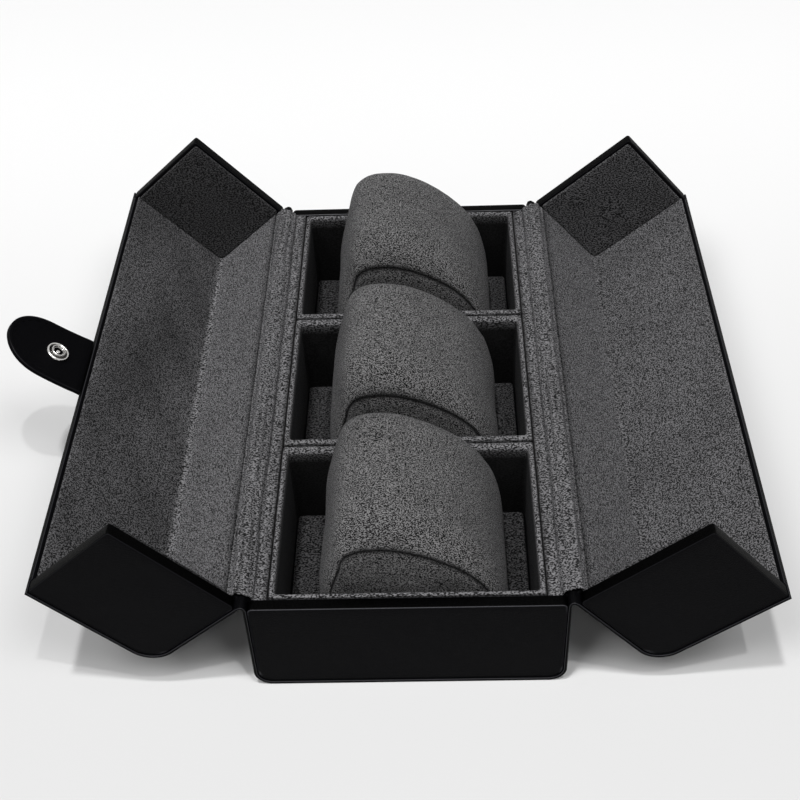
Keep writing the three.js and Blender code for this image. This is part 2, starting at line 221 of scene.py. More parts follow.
def smooth_line(points, count, closed=False):
    """Catmull-Rom curve through points, as `count` samples: each piece is the cubic whose slopes at its ends
    are half the chord between the neighbours."""
    p = np.asarray(points, float)
    if closed:
        padded = np.vstack([p[-1:], p, p[:2]])
        pieces = len(p)
    else:
        padded = np.vstack([2 * p[:1] - p[1:2], p, 2 * p[-1:] - p[-2:-1]])
        pieces = len(p) - 1
    t = np.linspace(0, pieces, count, endpoint=not closed)
    i = np.minimum(t.astype(int), pieces - 1)
    f = (t - i)[:, None]
    a, b, c, d = padded[i], padded[i + 1], padded[i + 2], padded[i + 3]
    return 0.5 * (2 * b + (c - a) * f + (2 * a - 5 * b + 4 * c - d) * f**2 + (3 * b - a - 3 * c + d) * f**3)


def along(line):
    """Running length of a polyline."""
    return np.concatenate([[0], np.cumsum(np.linalg.norm(np.diff(line, axis=0), axis=1))])


def left_of(line):
    """Unit normals to the left of a plane polyline, from central differences."""
    tangent = np.gradient(line, axis=0)
    tangent /= np.linalg.norm(tangent, axis=1, keepdims=True)
    return np.stack([-tangent[:, 1], tangent[:, 0]], -1)


def sampled(at, travel, line):
    """Points of a plane polyline at given running lengths."""
    return np.stack([np.interp(at, travel, line[:, k]) for k in (0, 1)], -1)


def from_ends(row):
    """How far each value of a rising row is from the nearer end."""
    return np.minimum(row - row[0], row[-1] - row)


def from_edges(rows, columns):
    """The same over a grid: how far each crossing is from the nearest edge."""
    return np.minimum(from_ends(rows)[:, None], from_ends(columns)[None, :])


# ---------------------------------------------------------------- meshes

def quads(grid):
    """The four-sided faces between neighbours of a grid of vertex numbers."""
    return np.stack([grid[:-1, :-1], grid[1:, :-1], grid[1:, 1:], grid[:-1, 1:]], -1).reshape(-1, 4)


def enclosed(points, faces):
    """Volume inside closed faces: a third of each face's corner dotted with its area vector."""
    total = 0.0
    for block in faces:
        a = points[block[:, 0]]
        for k in range(1, block.shape[1] - 1):
            total += np.einsum("ij,ij->", a, np.cross(points[block[:, k]], points[block[:, k + 1]])) / 6
    return total


def make_piece(name, points, faces, material, masks=None, sharp=55):
    """A mesh object at the origin from millimetre points and blocks of faces, turned outwards where it is closed."""
    points = np.asarray(points, float).reshape(-1, 3)
    if enclosed(points, faces) < 0:
        faces = [block[:, ::-1] for block in faces]
    mesh = bpy.data.meshes.new(name)
    mesh.from_pydata((points * MM).tolist(), [], [face for block in faces for face in block.tolist()])
    mesh.polygons.foreach_set("use_smooth", np.ones(len(mesh.polygons), bool))
    for mask, values in (masks or {}).items():
        attribute = mesh.attributes.new(mask, "FLOAT", "POINT")
        attribute.data.foreach_set("value", np.asarray(values, np.float32).ravel())
    mesh.set_sharp_from_angle(angle=math.radians(sharp))
    mesh.update()
    piece = bpy.data.objects.new(name, mesh)
    bpy.context.scene.collection.objects.link(piece)
    mesh.materials.append(material)
    return piece


def slab(name, middle, normal, edge, thickness, rim, material, relief=0.0, laid=None, ridge_gloss_and_highlight=1.0):
    """A closed sheet: two faces half a thickness either side of a middle surface. Within `rim` of the outline
    both draw in by a quarter circle. `edge` is each point's distance from the outline, `relief` lifts the first face.
    The `edge` mask, scaled by the last argument, is a bell curve that peaks on the rounding, for gloss and a
    painted highlight along the ridge, and a little below 0 on the cut side, for painted shade there; `laid` is
    painted shade, 1 where darkest."""
    least_flat, cut_side = 0.03, 0.2
    normal = np.asarray(normal, float)
    half = np.broadcast_to(np.asarray(thickness, float) / 2, edge.shape)
    rim = np.minimum(rim, half - least_flat)
    reach = np.minimum(edge, rim)
    height = (half - rim + np.sqrt(rim**2 - (rim - reach) ** 2))[..., None]
    first = middle + normal * (height + np.broadcast_to(relief, edge.shape)[..., None])
    second = middle - normal * height
    count = edge.size
    grid = np.arange(count).reshape(edge.shape)
    loop = np.concatenate([grid[:-1, 0], grid[-1, :-1], grid[:0:-1, -1], grid[0, :0:-1]])
    ahead = np.roll(loop, -1)
    sides = np.stack([ahead, loop, loop + count, ahead + count], -1)
    faces = [quads(grid), quads(grid + count)[:, ::-1], sides]
    across_rim = edge / np.maximum(rim, 0.01)
    # edge mask: gloss and painted highlight peaking on the rounded ridge, painted shade below 0 on the cut side
    masks = {"edge": ridge_gloss_and_highlight * bell(across_rim - 0.35, 0.16) - 0.08 * (across_rim < cut_side)}
    if laid is not None:
        masks["laid"] = np.broadcast_to(laid, edge.shape)
    masks = {key: np.concatenate([mask.ravel()] * 2) for key, mask in masks.items()}
    return make_piece(name, np.concatenate([first.reshape(-1, 3), second.reshape(-1, 3)]), faces, material, masks)


def corner(distance, radius):
    """How far a rounded corner stands in from the edge, at a distance from the other edge."""
    return radius - np.sqrt(radius**2 - (radius - np.clip(distance, 0, radius)) ** 2)


def plate(low, high, radii, rim, pitch):
    """A grid over a rectangle with rounded corners, in its own plane, and each point's distance from the outline.
    `radii` are for the low-low, high-low, high-high and low-high corners. Columns run from the lower to the upper
    outline."""
    width, height = high[0] - low[0], high[1] - low[1]
    columns = spread(width, [rim, *{r for r in radii if r > rim}], pitch)
    rows = stations(height, rim, pitch) / height
    floor = low[1] + corner(columns, radii[0]) + corner(width - columns, radii[1])
    roof = high[1] - corner(columns, radii[3]) - corner(width - columns, radii[2])
    u = np.broadcast_to(low[0] + columns[:, None], (len(columns), len(rows)))
    v = floor[:, None] + (roof - floor)[:, None] * rows[None, :]
    middle_u, middle_v = (low[0] + high[0]) / 2, (low[1] + high[1]) / 2
    radius = np.where(
        u < middle_u,
        np.where(v < middle_v, radii[0], radii[3]),
        np.where(v < middle_v, radii[1], radii[2]),
    )
    past_u = np.abs(u - middle_u) - width / 2 + radius
    past_v = np.abs(v - middle_v) - height / 2 + radius
    outside = np.hypot(np.maximum(past_u, 0), np.maximum(past_v, 0))
    edge = radius - outside - np.minimum(np.maximum(past_u, past_v), 0)
    return u, v, np.maximum(edge, 0)


def ring(name, inner, outer, across, height, material, masks=None, shift=0.0):
    """A closed loop with a closed section. The section's points stand `across` of the way from the inner to the
    outer outline, at `height`; both may differ from station to station. `shift` moves a point across, in
    millimetres."""
    gap = outer - inner
    width = np.linalg.norm(gap, axis=1, keepdims=True)
    plan = inner[:, None, :] + gap[:, None, :] * (across + np.broadcast_to(shift, across.shape) / width)[..., None]
    points = np.concatenate([plan, height[..., None]], -1)
    grid = np.arange(height.size).reshape(height.shape)
    grid = closed_round(np.concatenate([grid, grid[:1]], 0))
    return make_piece(name, points, [quads(grid)], material, masks)


def outline(low, high, radius, counts, corner_steps=6):
    """A rectangle with round corners, as one anticlockwise loop with the same number of points for any radius."""
    x0, y0, x1, y1 = low[0] + radius, low[1] + radius, high[0] - radius, high[1] - radius
    turn = np.linspace(0, np.pi / 2, corner_steps + 1)
    arcs = []
    for x, y, start in ((x1, y0, -np.pi / 2), (x1, y1, 0), (x0, y1, np.pi / 2), (x0, y0, np.pi)):
        arcs.append(np.stack([x + radius * np.cos(turn + start), y + radius * np.sin(turn + start)], -1))
    loop = []
    for k, arc in enumerate(arcs):
        steps = np.linspace(0, 1, counts[(k + 1) % 2] + 1)[1:-1, None]
        loop += [arc, arc[-1] + (arcs[(k + 1) % 4][0] - arc[-1]) * steps]
    return np.concatenate(loop)


def closed_round(grid):
    """A grid of vertex numbers whose rings also come back to their first column."""
    return np.concatenate([grid, grid[:, :1]], 1)


def fans(grid, first, last):
    """Three-sided faces from two poles to the first and the last ring of a grid of vertex numbers."""
    count = grid.shape[1] - 1
    return [
        np.stack([np.full(count, first), grid[0, :-1], grid[0, 1:]], -1),
        np.stack([np.full(count, last), grid[-1, 1:], grid[-1, :-1]], -1),
    ]


def lathe(profile, segments):
    """Points (radius, height) turned round an axis. A profile that starts and ends on the axis closes there in two
    poles, any other closes on itself. Returns points as (across, along, height) and faces."""
    profile = np.asarray(profile, float)
    angle = np.linspace(0, 2 * np.pi, segments, endpoint=False)
    poles = profile[0, 0] < 1e-6
    body = profile[1:-1] if poles else profile
    r, h = body[:, 0, None], np.broadcast_to(body[:, 1, None], (len(body), segments))
    points = np.stack([r * np.cos(angle), r * np.sin(angle), h], -1).reshape(-1, 3)
    grid = closed_round(np.arange(len(points)).reshape(len(body), segments))
    if not poles:
        return points, [quads(np.concatenate([grid, grid[:1]], 0))]
    ends = np.array([[0, 0, profile[0, 1]], [0, 0, profile[-1, 1]]])
    return np.vstack([points, ends]), [quads(grid), *fans(grid, len(points), len(points) + 1)]


# ---------------------------------------------------------------- shared shader groups

def new_group(name, inputs, outputs):
    """An empty shader node group with a socket for each input, a number or a vector as its default is, and for each
    output number. Returns the group, the inputs' sockets in order, and the outputs' by name."""
    tree = bpy.data.node_groups.new(name, "ShaderNodeTree")
    for label, value in inputs.items():
        kind = "NodeSocketFloat" if isinstance(value, float) else "NodeSocketVector"
        tree.interface.new_socket(label, in_out="INPUT", socket_type=kind).default_value = value
    for label in outputs:
        tree.interface.new_socket(label, in_out="OUTPUT", socket_type="NodeSocketFloat")
    given = tree.nodes.new("NodeGroupInput").outputs
    return tree, [given[label] for label in inputs], tree.nodes.new("NodeGroupOutput").inputs


def place(tree, kind, settings=None, **inputs):
    """Adds a node. Inputs are values, or output sockets to link; a socket's name is written with _ for a space."""
    node = tree.nodes.new(kind)
    for key, value in (settings or {}).items():
        setattr(node, key, value)
    for key, value in inputs.items():
        numbered = key[0] == "i" and key[1:].isdigit()
        socket = node.inputs[int(key[1:])] if numbered else node.inputs[key.replace("_", " ")]
        if isinstance(value, bpy.types.NodeSocket):
            tree.links.new(value, socket)
        else:
            socket.default_value = value
    return node


def maths(tree, operation, a, b=0.0, c=0.0):
    return place(tree, "ShaderNodeMath", {"operation": operation}, i0=a, i1=b, i2=c).outputs[0]


def times(tree, a, b):
    return maths(tree, "MULTIPLY", a, b)


def scaled(tree, value, factor, added):
    """value * factor + added."""
    return maths(tree, "MULTIPLY_ADD", value, factor, added)


def stretched(tree, position, factors):
    """A position scaled along each axis; a factor below 1 draws a pattern out along its axis."""
    return place(tree, "ShaderNodeVectorMath", {"operation": "MULTIPLY"}, i0=position, i1=factors).outputs[0]


def ranged(tree, value, source, target, curve="SMOOTHSTEP"):
    """A value carried from one range into another, and held at its ends."""
    ends = {"i1": source[0], "i2": source[1], "i3": target[0], "i4": target[1]}
    return place(tree, "ShaderNodeMapRange", {"interpolation_type": curve}, Value=value, **ends).outputs[0]


def noise(tree, position, scale, detail=2.0, roughness=0.5):
    node = place(tree, "ShaderNodeTexNoise", None, Vector=position, Scale=scale, Detail=detail, Roughness=roughness)
    return node.outputs["Fac"]


def pile_group(name):
    """Short pile: bright tips and dark gaps of one spot size, a little longer across the case, and their height.
    The noise is carried from the narrow band where it mostly lies to below 0 and above 1, so that few spots are
    of a middle shade."""
    inputs = {"Position": (0.0, 0.0, 0.0), "Spots per metre": 2000.0, "Contrast": 0.5}
    tree, (position, spots, contrast), out = new_group(name, inputs, ("Shade", "Height"))
    mixed = noise(tree, stretched(tree, position, (0.6, 1.0, 1.0)), spots, 1.0, 0.45)
    tips = ranged(tree, mixed, (0.445, 0.57), (-0.7, 1.3), "LINEAR")
    tree.links.new(scaled(tree, tips, contrast, 1.0), out["Shade"])
    tree.links.new(mixed, out["Height"])
    return tree


def brushed_group(name):
    """Patches where the nap lies another way: broad clouds with soft streaks along one direction."""
    inputs = {"Position": (0.0, 0.0, 0.0), "Patches per metre": 40.0, "Strength": 0.15, "Stretch": (1.0, 0.35, 1.0)}
    tree, (position, patches, strength, stretch), out = new_group(name, inputs, ("Shade",))
    drawn = stretched(tree, position, stretch)
    clouds = noise(tree, drawn, patches, 3.0, 0.6)
    streaks = noise(tree, drawn, times(tree, patches, 6.0), 2.0, 0.6)
    mixed = scaled(tree, streaks, 0.35, times(tree, clouds, 0.65))
    centred = times(tree, maths(tree, "SUBTRACT", mixed, 0.5), 4.0)
    tree.links.new(scaled(tree, centred, strength, 1.0), out["Shade"])
    return tree


def grain_group(name):
    """Coated leather: flat-topped cells with sunk creases over a slow unevenness, a mask of the creases, smudges."""
    inputs = {"Position": (0.0, 0.0, 0.0), "Cells per metre": 900.0}
    tree, (position, scale), out = new_group(name, inputs, ("Height", "Creases", "Smudges"))
    cells = place(tree, "ShaderNodeTexVoronoi", {"feature": "DISTANCE_TO_EDGE"}, Vector=position, Scale=scale)
    tops = ranged(tree, cells.outputs["Distance"], (0.0, 0.16), (0.0, 1.0))
    slow = noise(tree, position, times(tree, scale, 0.12))
    tree.links.new(scaled(tree, slow, 0.8, tops), out["Height"])
    tree.links.new(maths(tree, "SUBTRACT", 1.0, tops), out["Creases"])
    tree.links.new(noise(tree, position, 30.0, 3.0, 0.6), out["Smudges"])
    return tree


GROUPS = {"pile": pile_group, "brushed nap": brushed_group, "leather grain": grain_group}


def grouped(tree, name, **inputs):
    """A shared shader group's outputs, with the group made at its first use."""
    group = bpy.data.node_groups.get(name) or GROUPS[name](name)
    return place(tree, "ShaderNodeGroup", {"node_tree": group}, **inputs).outputs


def position_of(tree):
    return place(tree, "ShaderNodeTexCoord").outputs["Object"]


def mask_of(tree, name):
    return place(tree, "ShaderNodeAttribute", {"attribute_name": name}).outputs["Fac"]


def tinted(tree, colour, shade):
    """One colour made lighter or darker over the surface."""
    return place(tree, "ShaderNodeVectorMath", {"operation": "SCALE"}, i0=tuple(colour[:3]), Scale=shade).outputs[0]


def new_material(name):
    material = bpy.data.materials.new(name)
    material.use_nodes = True
    tree = material.node_tree
    return material, tree, tree.nodes["Principled BSDF"]


def set_uniform(shader, values):
    for socket, value in values.items():
        shader.inputs[socket].default_value = value


def bump(tree, shader, height, distance, strength=1.0):
    node = place(tree, "ShaderNodeBump", None, Height=height, Distance=distance, Strength=strength)
    tree.links.new(node.outputs[0], shader.inputs["Normal"])


def pile_cloth(name, colour, spots, contrast, patches, patch_strength, stretch, sheen):
    """Velvet or suede: pile spots and brushed patches on one colour, sheen at grazing angles, and painted shade
    from the `laid` mask: darker in seams, creases, compartments, between parts and on faces turned from the light."""
    material, tree, shader = new_material(name)
    position = position_of(tree)
    pile = grouped(tree, "pile", Position=position, Spots_per_metre=spots, Contrast=contrast)
    patching = {"Patches_per_metre": patches, "Strength": patch_strength, "Stretch": stretch}
    nap = grouped(tree, "brushed nap", Position=position, **patching)
    # painted shade: the laid mask darkens the colour, by up to 97 per cent
    upright = scaled(tree, mask_of(tree, "laid"), -0.97, 1.0)
    shade = times(tree, times(tree, pile["Shade"], nap["Shade"]), upright)
    tree.links.new(tinted(tree, colour, shade), shader.inputs["Base Color"])
    tree.links.new(scaled(tree, pile["Height"], -0.15, 1.0), shader.inputs["Roughness"])
    set_uniform(shader, {"Specular IOR Level": 0.15, "Sheen Weight": sheen, "Sheen Roughness": 0.45})
    set_uniform(shader, {"Sheen Tint": (0.9, 0.9, 0.95, 1)})
    bump(tree, shader, pile["Height"], 0.0005, 0.8)
    return material


def case_leather(name, colour, cells, gloss, depth, edge_coat_highlight_and_shade):
    """Black coated leather: fine grain, faint smudges in its gloss, a coat on its edges, and a painted highlight
    along the edges' ridges with painted shade on their cut sides.
    """
    full_coat = 11
    material, tree, shader = new_material(name)
    grain = grouped(tree, "leather grain", Position=position_of(tree), Cells_per_metre=cells)
    edge, smudges = mask_of(tree, "edge"), grain["Smudges"]
    shade = scaled(tree, grain["Creases"], -0.35, scaled(tree, smudges, 0.5, 0.75))
    # painted highlight and shade: the edge mask lightens the colour on the ridges and darkens it on the cut sides
    lifted = scaled(tree, edge, edge_coat_highlight_and_shade, shade)
    tree.links.new(tinted(tree, colour, lifted), shader.inputs["Base Color"])
    rough = scaled(tree, smudges, 0.16, gloss - 0.08)
    tree.links.new(scaled(tree, edge, -0.1, rough), shader.inputs["Roughness"])
    polished = times(tree, maths(tree, "MAXIMUM", edge, 0.0), min(edge_coat_highlight_and_shade / full_coat, 1.0))
    tree.links.new(polished, shader.inputs["Coat Weight"])
    set_uniform(shader, {"Specular IOR Level": 0.02, "Coat Roughness": 0.3})
    bump(tree, shader, grain["Height"], depth)
    return material


def plated_metal(name, colour):
    """Nickel plate: bright, with hairline scuffs in its gloss; in its grooves rougher where they aren't polished, and
    darker as painted shade.
    """
    material, tree, shader = new_material(name)
    position = position_of(tree)
    scuffs = noise(tree, stretched(tree, position, (1.0, 9.0, 1.0)), 900.0, 3.0, 0.7)
    clouds = noise(tree, position, 260.0)
    rough_shaded_grooves = mask_of(tree, "groove_roughness_and_shade")
    # painted shade: the grooves' colour is darkened by up to 93 per cent
    shade = times(tree, scaled(tree, clouds, 0.3, 0.85), scaled(tree, rough_shaded_grooves, -0.93, 1.0))
    tree.links.new(tinted(tree, colour, shade), shader.inputs["Base Color"])
    rough = scaled(tree, scuffs, 0.16, 0.06)
    tree.links.new(scaled(tree, rough_shaded_grooves, 0.3, rough), shader.inputs["Roughness"])
    set_uniform(shader, {"Metallic": 1.0})
    bump(tree, shader, scuffs, 0.00002)
    return material


def grey_board(name, colour):
    """Pressed board: flecks and fibres."""
    material, tree, shader = new_material(name)
    position = position_of(tree)
    fibres = stretched(tree, position, (1.0, 0.1, 1.0))
    flecks = maths(tree, "ADD", noise(tree, fibres, 700.0, 3.0), noise(tree, position, 160.0))
    tree.links.new(tinted(tree, colour, scaled(tree, flecks, 0.6, 0.4)), shader.inputs["Base Color"])
    set_uniform(shader, {"Roughness": 0.9})
    bump(tree, shader, flecks, 0.0001)
    return material


def finish_of(kind):
    """A finish by name, made at its first use from the panel's colours. Leather takes its cells per metre, its
    roughness, its depth and the strength of its edges' coat, painted highlight and painted shade; cloth takes its
    patches per metre, their strength, how they are drawn out, and its sheen."""
    made = bpy.data.materials.get(kind)
    if made:
        return made
    looks = bpy.context.scene.watch_case_finishes
    velvet = (pile_cloth, looks.velvet_colour, looks.pile_spots, looks.pile_contrast)
    suede = (pile_cloth, looks.suede_colour, looks.suede_spots, looks.suede_contrast)
    make, *values = {
        # the last leather value sets the edges' coat, painted highlight and painted shade
        "case_leather": (case_leather, looks.leather_colour, 1500.0, looks.leather_roughness, 0.00004, 11.0),
        "strap_leather": (case_leather, looks.strap_colour, 1900.0, 0.62, 0.00005, 1.5),
        "stitch_thread": (case_leather, looks.strap_colour, 4000.0, 0.55, 0.00003, 0.0),
        "lining_velvet": (*velvet, 45.0, 0.17, (1.0, 0.35, 1.0), 0.02),
        "hinge_velvet": (*velvet, 120.0, 0.14, (1.0, 0.05, 1.0), 0.03),
        "pad_velvet": (*velvet, 160.0, 0.3, (1.0, 0.04, 1.0), 0.02),
        "suede_nap": (*suede, 50.0, 0.22, (1.0, 1.0, 1.0), 0.04),
        "nickel_plate": (plated_metal, looks.metal_colour),
        "grey_board": (grey_board, looks.board_colour),
    }[kind]
    return make(kind, *values)


# ---------------------------------------------------------------- properties

def number_of(name, description, default, **limits):
    return bpy.props.FloatProperty(name=name, description=description, default=default, **limits)


def share_of(name, description, default, low, high):
    return number_of(name, description, default, min=low, max=high, subtype="FACTOR")


def length_of(name, description, millimetres):
    limits = {"min": 0.0, "subtype": "DISTANCE", "unit": "LENGTH", "precision": 5}
    return number_of(name, description, millimetres * MM, **limits)


def colour_of(name, description, default):
    limits = {"min": 0.0, "max": 1.0, "size": 3, "subtype": "COLOR"}
    return bpy.props.FloatVectorProperty(name=name, description=description, default=default, **limits)


class WatchCaseSizes(bpy.types.PropertyGroup):
    """Thicknesses, rounding and sewing of the case's pieces."""

    skin: length_of("Skin", "Thickness of leather and board together", 2.3)
    end_skin: length_of("End skin", "Thickness of the leather that laps an end panel", 1.1)
    panel_gap: length_of("Panel gap", "Groove between an end panel and the leather that laps it", 0.15)
    hinge_skin: length_of("Hinge leather", "Thickness of the bare leather at the hinge", 0.9)
    edge_round: length_of("Edge rounding", "Radius of the skin's cut edges", 0.4)
    panel_round: length_of("Panel rounding", "Radius of the end panels' edges", 0.5)
    tray_corner: length_of("Tray corner", "Radius along the tray's lower edges", 6.0)
    lid_corner: length_of("Lid corner", "Radius along each lid's long edge", 9.0)
    unevenness: length_of("Unevenness", "How far the leather stands off a flat face", 0.08)
    welt_height: length_of("Welt height", "Height of the rounded rim round each compartment", 1.7)
    bay_corner: length_of("Compartment corner", "Radius of a compartment's upright corners", 1.6)
    lining: length_of("Lid lining", "Thickness of the velvet covered card in the lids", 1.2)
    hinge_lining: length_of("Hinge lining", "Thickness of the velvet band over the hinge", 0.8)
    hinge_wrinkle: length_of("Hinge wrinkles", "Depth of the long wrinkles in the hinge band", 0.35)
    seam_depth: length_of("Seam depth", "How deep the cushions' seams pull in", 0.9)
    puff_limit: length_of("Puff limit", "Furthest that the stuffing may push a cushion's cover", 1.6)
    stitch_length: length_of("Stitch length", "Length of one stitch on the strap", 2.1)
    stitch_pitch: length_of("Stitch pitch", "Distance from one stitch to the next", 3.0)
    stitch_inset: length_of("Stitch inset", "Distance of the stitches from the strap's edge", 2.0)


class WatchCaseFinishes(bpy.types.PropertyGroup):
    """Colours and surface values of the case's finishes."""

    leather_colour: colour_of("Leather", "Coated leather of the case", (0.0028, 0.0028, 0.0034))
    leather_roughness: share_of("Leather roughness", "Middle roughness of the leather", 0.42, 0.05, 1.0)
    strap_colour: colour_of("Strap", "Leather and thread of the strap", (0.0022, 0.0022, 0.0028))
    velvet_colour: colour_of("Velvet", "Lining of the tray and lids", (0.080, 0.079, 0.082))
    pile_spots: number_of("Pile spots", "Spots of the velvet's pile per metre", 2350.0, min=100.0)
    pile_contrast: share_of("Pile contrast", "How far the velvet's spots differ", 1.25, 0.0, 2.0)
    suede_colour: colour_of("Suede", "Cover of the cushions", (0.0735, 0.0725, 0.0732))
    suede_spots: number_of("Suede spots", "Spots of the suede's nap per metre", 3400.0, min=100.0)
    suede_contrast: share_of("Suede contrast", "How far the suede's spots differ", 1.4, 0.0, 2.0)
    metal_colour: colour_of("Metal", "Plated snap", (0.70, 0.69, 0.67))
    board_colour: colour_of("Board", "Board inside the walls", (0.03, 0.029, 0.028))


class WatchCaseStudio(bpy.types.PropertyGroup):
    """Camera and lights."""

    aim: bpy.props.FloatVectorProperty(
        name="Aim", description="Point on the floor that the camera looks at", default=(-0.0046, 0.0276, 0.0),
        size=3, subtype="TRANSLATION", unit="LENGTH", precision=5,
    )
    distance: number_of(
        "Distance", "From the aim to the camera", 0.5219, min=0.05, subtype="DISTANCE", unit="LENGTH", precision=4
    )
    azimuth: number_of("Azimuth", "Turn of the camera round the case", math.radians(2.481), subtype="ANGLE")
    elevation: number_of("Elevation", "Height of the camera above the floor", math.radians(43.365), subtype="ANGLE")
    roll: number_of("Roll", "Turn of the camera about its line of sight", math.radians(-2.884), subtype="ANGLE")
    lens: number_of("Lens", "Focal length on a 36 mm sensor", 58.77, min=10.0, subtype="DISTANCE_CAMERA")
    floor_light: number_of("Floor light", "Light of the lamps on the floor, in watts per square metre", 3.5, min=0.0)
    room_light: number_of("Room light", "Brightness of the plain surroundings", 0.03, min=0.0)
    reflected_room: number_of("Reflected room", "How much more the surroundings light reflections", 0.7, min=0.0)


def in_millimetres(group):
    """A property group's lengths, in millimetres."""
    return SimpleNamespace(**{key: getattr(group, key) / MM for key in group.__annotations__})


def settle(piece, body, slot, *nodes):
    """The finished piece rides its body and stands for its nodes."""
    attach(piece, body)
    if nodes:
        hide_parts(*nodes)
    return piece


def bend(piece, lid, radius, slot, *nodes):
    """The finished piece has its place baked into its mesh and stands for its nodes; the ends of a bend at this
    radius round the hinge axis are worked out but not used.
    """
    start, end = lid.fold(radius)
    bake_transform(piece)
    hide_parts(*nodes)
    return piece


# ---------------------------------------------------------------- skins

def skin_section(lid, size):
    """Outer face of one half of the leather, from the hinge axis: flat under the tray, a quarter circle round its
    lower edge, up its side, round the axis, up the lid's side, a quarter circle round the lid's long edge, and over
    its top. Returns the points, unit directions towards the lining, and the thickness, which eases down to bare
    leather at the hinge."""
    low, high = span("tray_leather_wrap")
    axis = abs(lid.x)
    side_in, under = axis - high[0], low[2] - lid.z
    lead, eases_over = 4.0, 0.9

    def line(p, q, pitch):
        t = np.linspace(0, 1, max(2, int(np.hypot(q[0] - p[0], q[1] - p[1]) / pitch) + 1))[:-1, None]
        return np.array(p) + (np.array(q) - np.array(p)) * t

    def arc(centre, radius, start, stop, steps):
        turn = np.radians(np.linspace(start, stop, steps + 1))[:-1]
        heading = np.stack([np.cos(turn), np.sin(turn)], -1)
        return np.array(centre) + radius * heading, heading

    r, big = size.tray_corner, size.lid_corner
    tray_arc, tray_heading = arc((side_in + r, under + r), r, 270, 180, 10)
    lid_arc, lid_heading = arc((side_in + big, LID_TOP - big), big, 180, 90, 14)
    tray_parts = [
        (line((axis, under), (side_in + r, under), LEATHER_PITCH), (0, 1)),
        (tray_arc, -tray_heading),
        (line((side_in, under + r), (side_in, -lead), LEATHER_PITCH), (1, 0)),
        (line((side_in, -lead), (side_in, 0), CREASED_PITCH), (1, 0)),
    ]
    hinge_parts = [arc((0, 0), side_in, 0, math.degrees(lid.open), 14)]
    free = LID_REACH - stations(LID_REACH - side_in - big, size.edge_round, LEATHER_PITCH)[::-1]
    lid_parts = [
        (line((side_in, 0), (side_in, lead), CREASED_PITCH), (1, 0)),
        (line((side_in, lead), (side_in, LID_TOP - big), LEATHER_PITCH), (1, 0)),
        (lid_arc, -lid_heading),
        (np.stack([free, np.full(len(free), LID_TOP)], -1), (0, -1)),
    ]
    points, inward, thin = [], [], []
    for parts in (tray_parts, hinge_parts, lid_parts):
        for part, direction in parts:
            facing = np.broadcast_to(np.array(direction, float), part.shape)
            clear = np.zeros(len(part)) if parts is hinge_parts else np.abs(part[:, 1])
            if parts is lid_parts:
                part = np.stack(lid.turned(part[:, 0], part[:, 1]), -1)
                facing = np.stack(lid.turned(facing[:, 0], facing[:, 1]), -1)
            points.append(part)
            inward.append(facing)
            thin.append(1 - eased(clear / eases_over))
    thickness = size.skin + (size.hinge_skin - size.skin) * np.concatenate(thin)
    return np.concatenate(points), np.concatenate(inward), thickness


def build_skin(lid, size):
    """The section carried along the case. Its long edges under the tray meet the other half; the rest are rounded.
    Beside the end panels it is only as thick as its leather, and the panels fill the step."""
    section, inward, thickness = skin_section(lid, size)
    low, high = span("tray_leather_wrap")
    length = high[1] - low[1]
    past_panel = np.array([0.05, 0.45])
    step = span("tray_front_panel")[1][1] - low[1] + past_panel
    y = low[1] + np.sort(np.concatenate([stations(length, size.edge_round, LEATHER_PITCH), step, length - step]))
    travel = along(section + inward * thickness[:, None] / 2)
    uneven = size.unevenness * ripple(travel[:, None], y[None, :], 11 + lid.side)
    to_end = np.minimum(y - low[1], high[1] - y)[None, :]
    thin = np.minimum(thickness, size.end_skin)[:, None]
    depth = thin + (thickness[:, None] - thin) * np.clip((to_end - step[0]) / (step[1] - step[0]), 0, 1)
    centre_line = section[:, None, :] + inward[:, None, :] * depth[..., None] / 2
    centre = lid.row(centre_line[..., 0], y[None, :], centre_line[..., 1])
    facing = lid.direction(inward[:, 0], inward[:, 1])[:, None, :]
    edge = np.minimum((travel[-1] - travel)[:, None], to_end)
    still = eased((section[:, 1] - section[:, 1].min())[:, None] / 3) * eased(edge / SKIN_FADE)
    centre = centre + facing * (uneven * still)[..., None]
    name, finish, bend_radius = SIDES[lid.side], finish_of("case_leather"), 0.7
    # the skin's edges get gloss and a painted highlight on their ridges, and painted shade on their cut sides
    skin = slab(f"{name}_leather_skin", centre, facing, edge, depth, size.edge_round, finish, ridge_gloss_and_highlight=0.7)
    return bend(
        skin, lid, bend_radius, "black_leather", "tray_leather_wrap", "tray_bottom_board", f"tray_{name}_board",
        f"{name}_hinge_leather", f"{name}_lid_leather", f"{name}_lid_board",
    )


# ---------------------------------------------------------------- panels and linings

def panel_gloss_and_highlight(inside, edge):
    """Strength of the gloss and painted highlight on an end panel's rounded edges: little where the nearest edge is
    one that the leather laps, full where it is a free one. `inside` is the distance from the lapped edges."""
    return 0.15 + 0.85 * eased((inside - edge) / 1.5)


def build_tray_panel(end, size):
    """A rectangle with rounded lower corners, filled out to a board with rounded edges. It reaches the leather that
    laps it, and its lower edge gets little gloss and painted highlight."""
    low, high = span(f"tray_{end}_panel")
    lap = size.end_skin + size.panel_gap
    grow, radius = low[2] - lap, size.tray_corner - lap
    start, stop = (low[0] - grow, lap), (high[0] + grow, high[2])
    u, v, edge = plate(start, stop, (radius, radius, 1.6, 1.6), size.panel_round, LEATHER_PITCH)
    y = (low[1] + high[1]) / 2
    swell = size.unevenness * ripple(u, v, 21 if y < 0 else 22) * eased(edge / PANEL_FADE)
    panel = slab(
        f"tray_{end}_panel_leather", np.stack([u, np.full(u.shape, y), v], -1), (0, np.sign(y), 0), edge,
        high[1] - low[1], size.panel_round, finish_of("case_leather"), swell, ridge_gloss_and_highlight=panel_gloss_and_highlight(v - lap, edge),
    )
    return settle(panel, "tray", "black_leather", f"tray_{end}_panel")


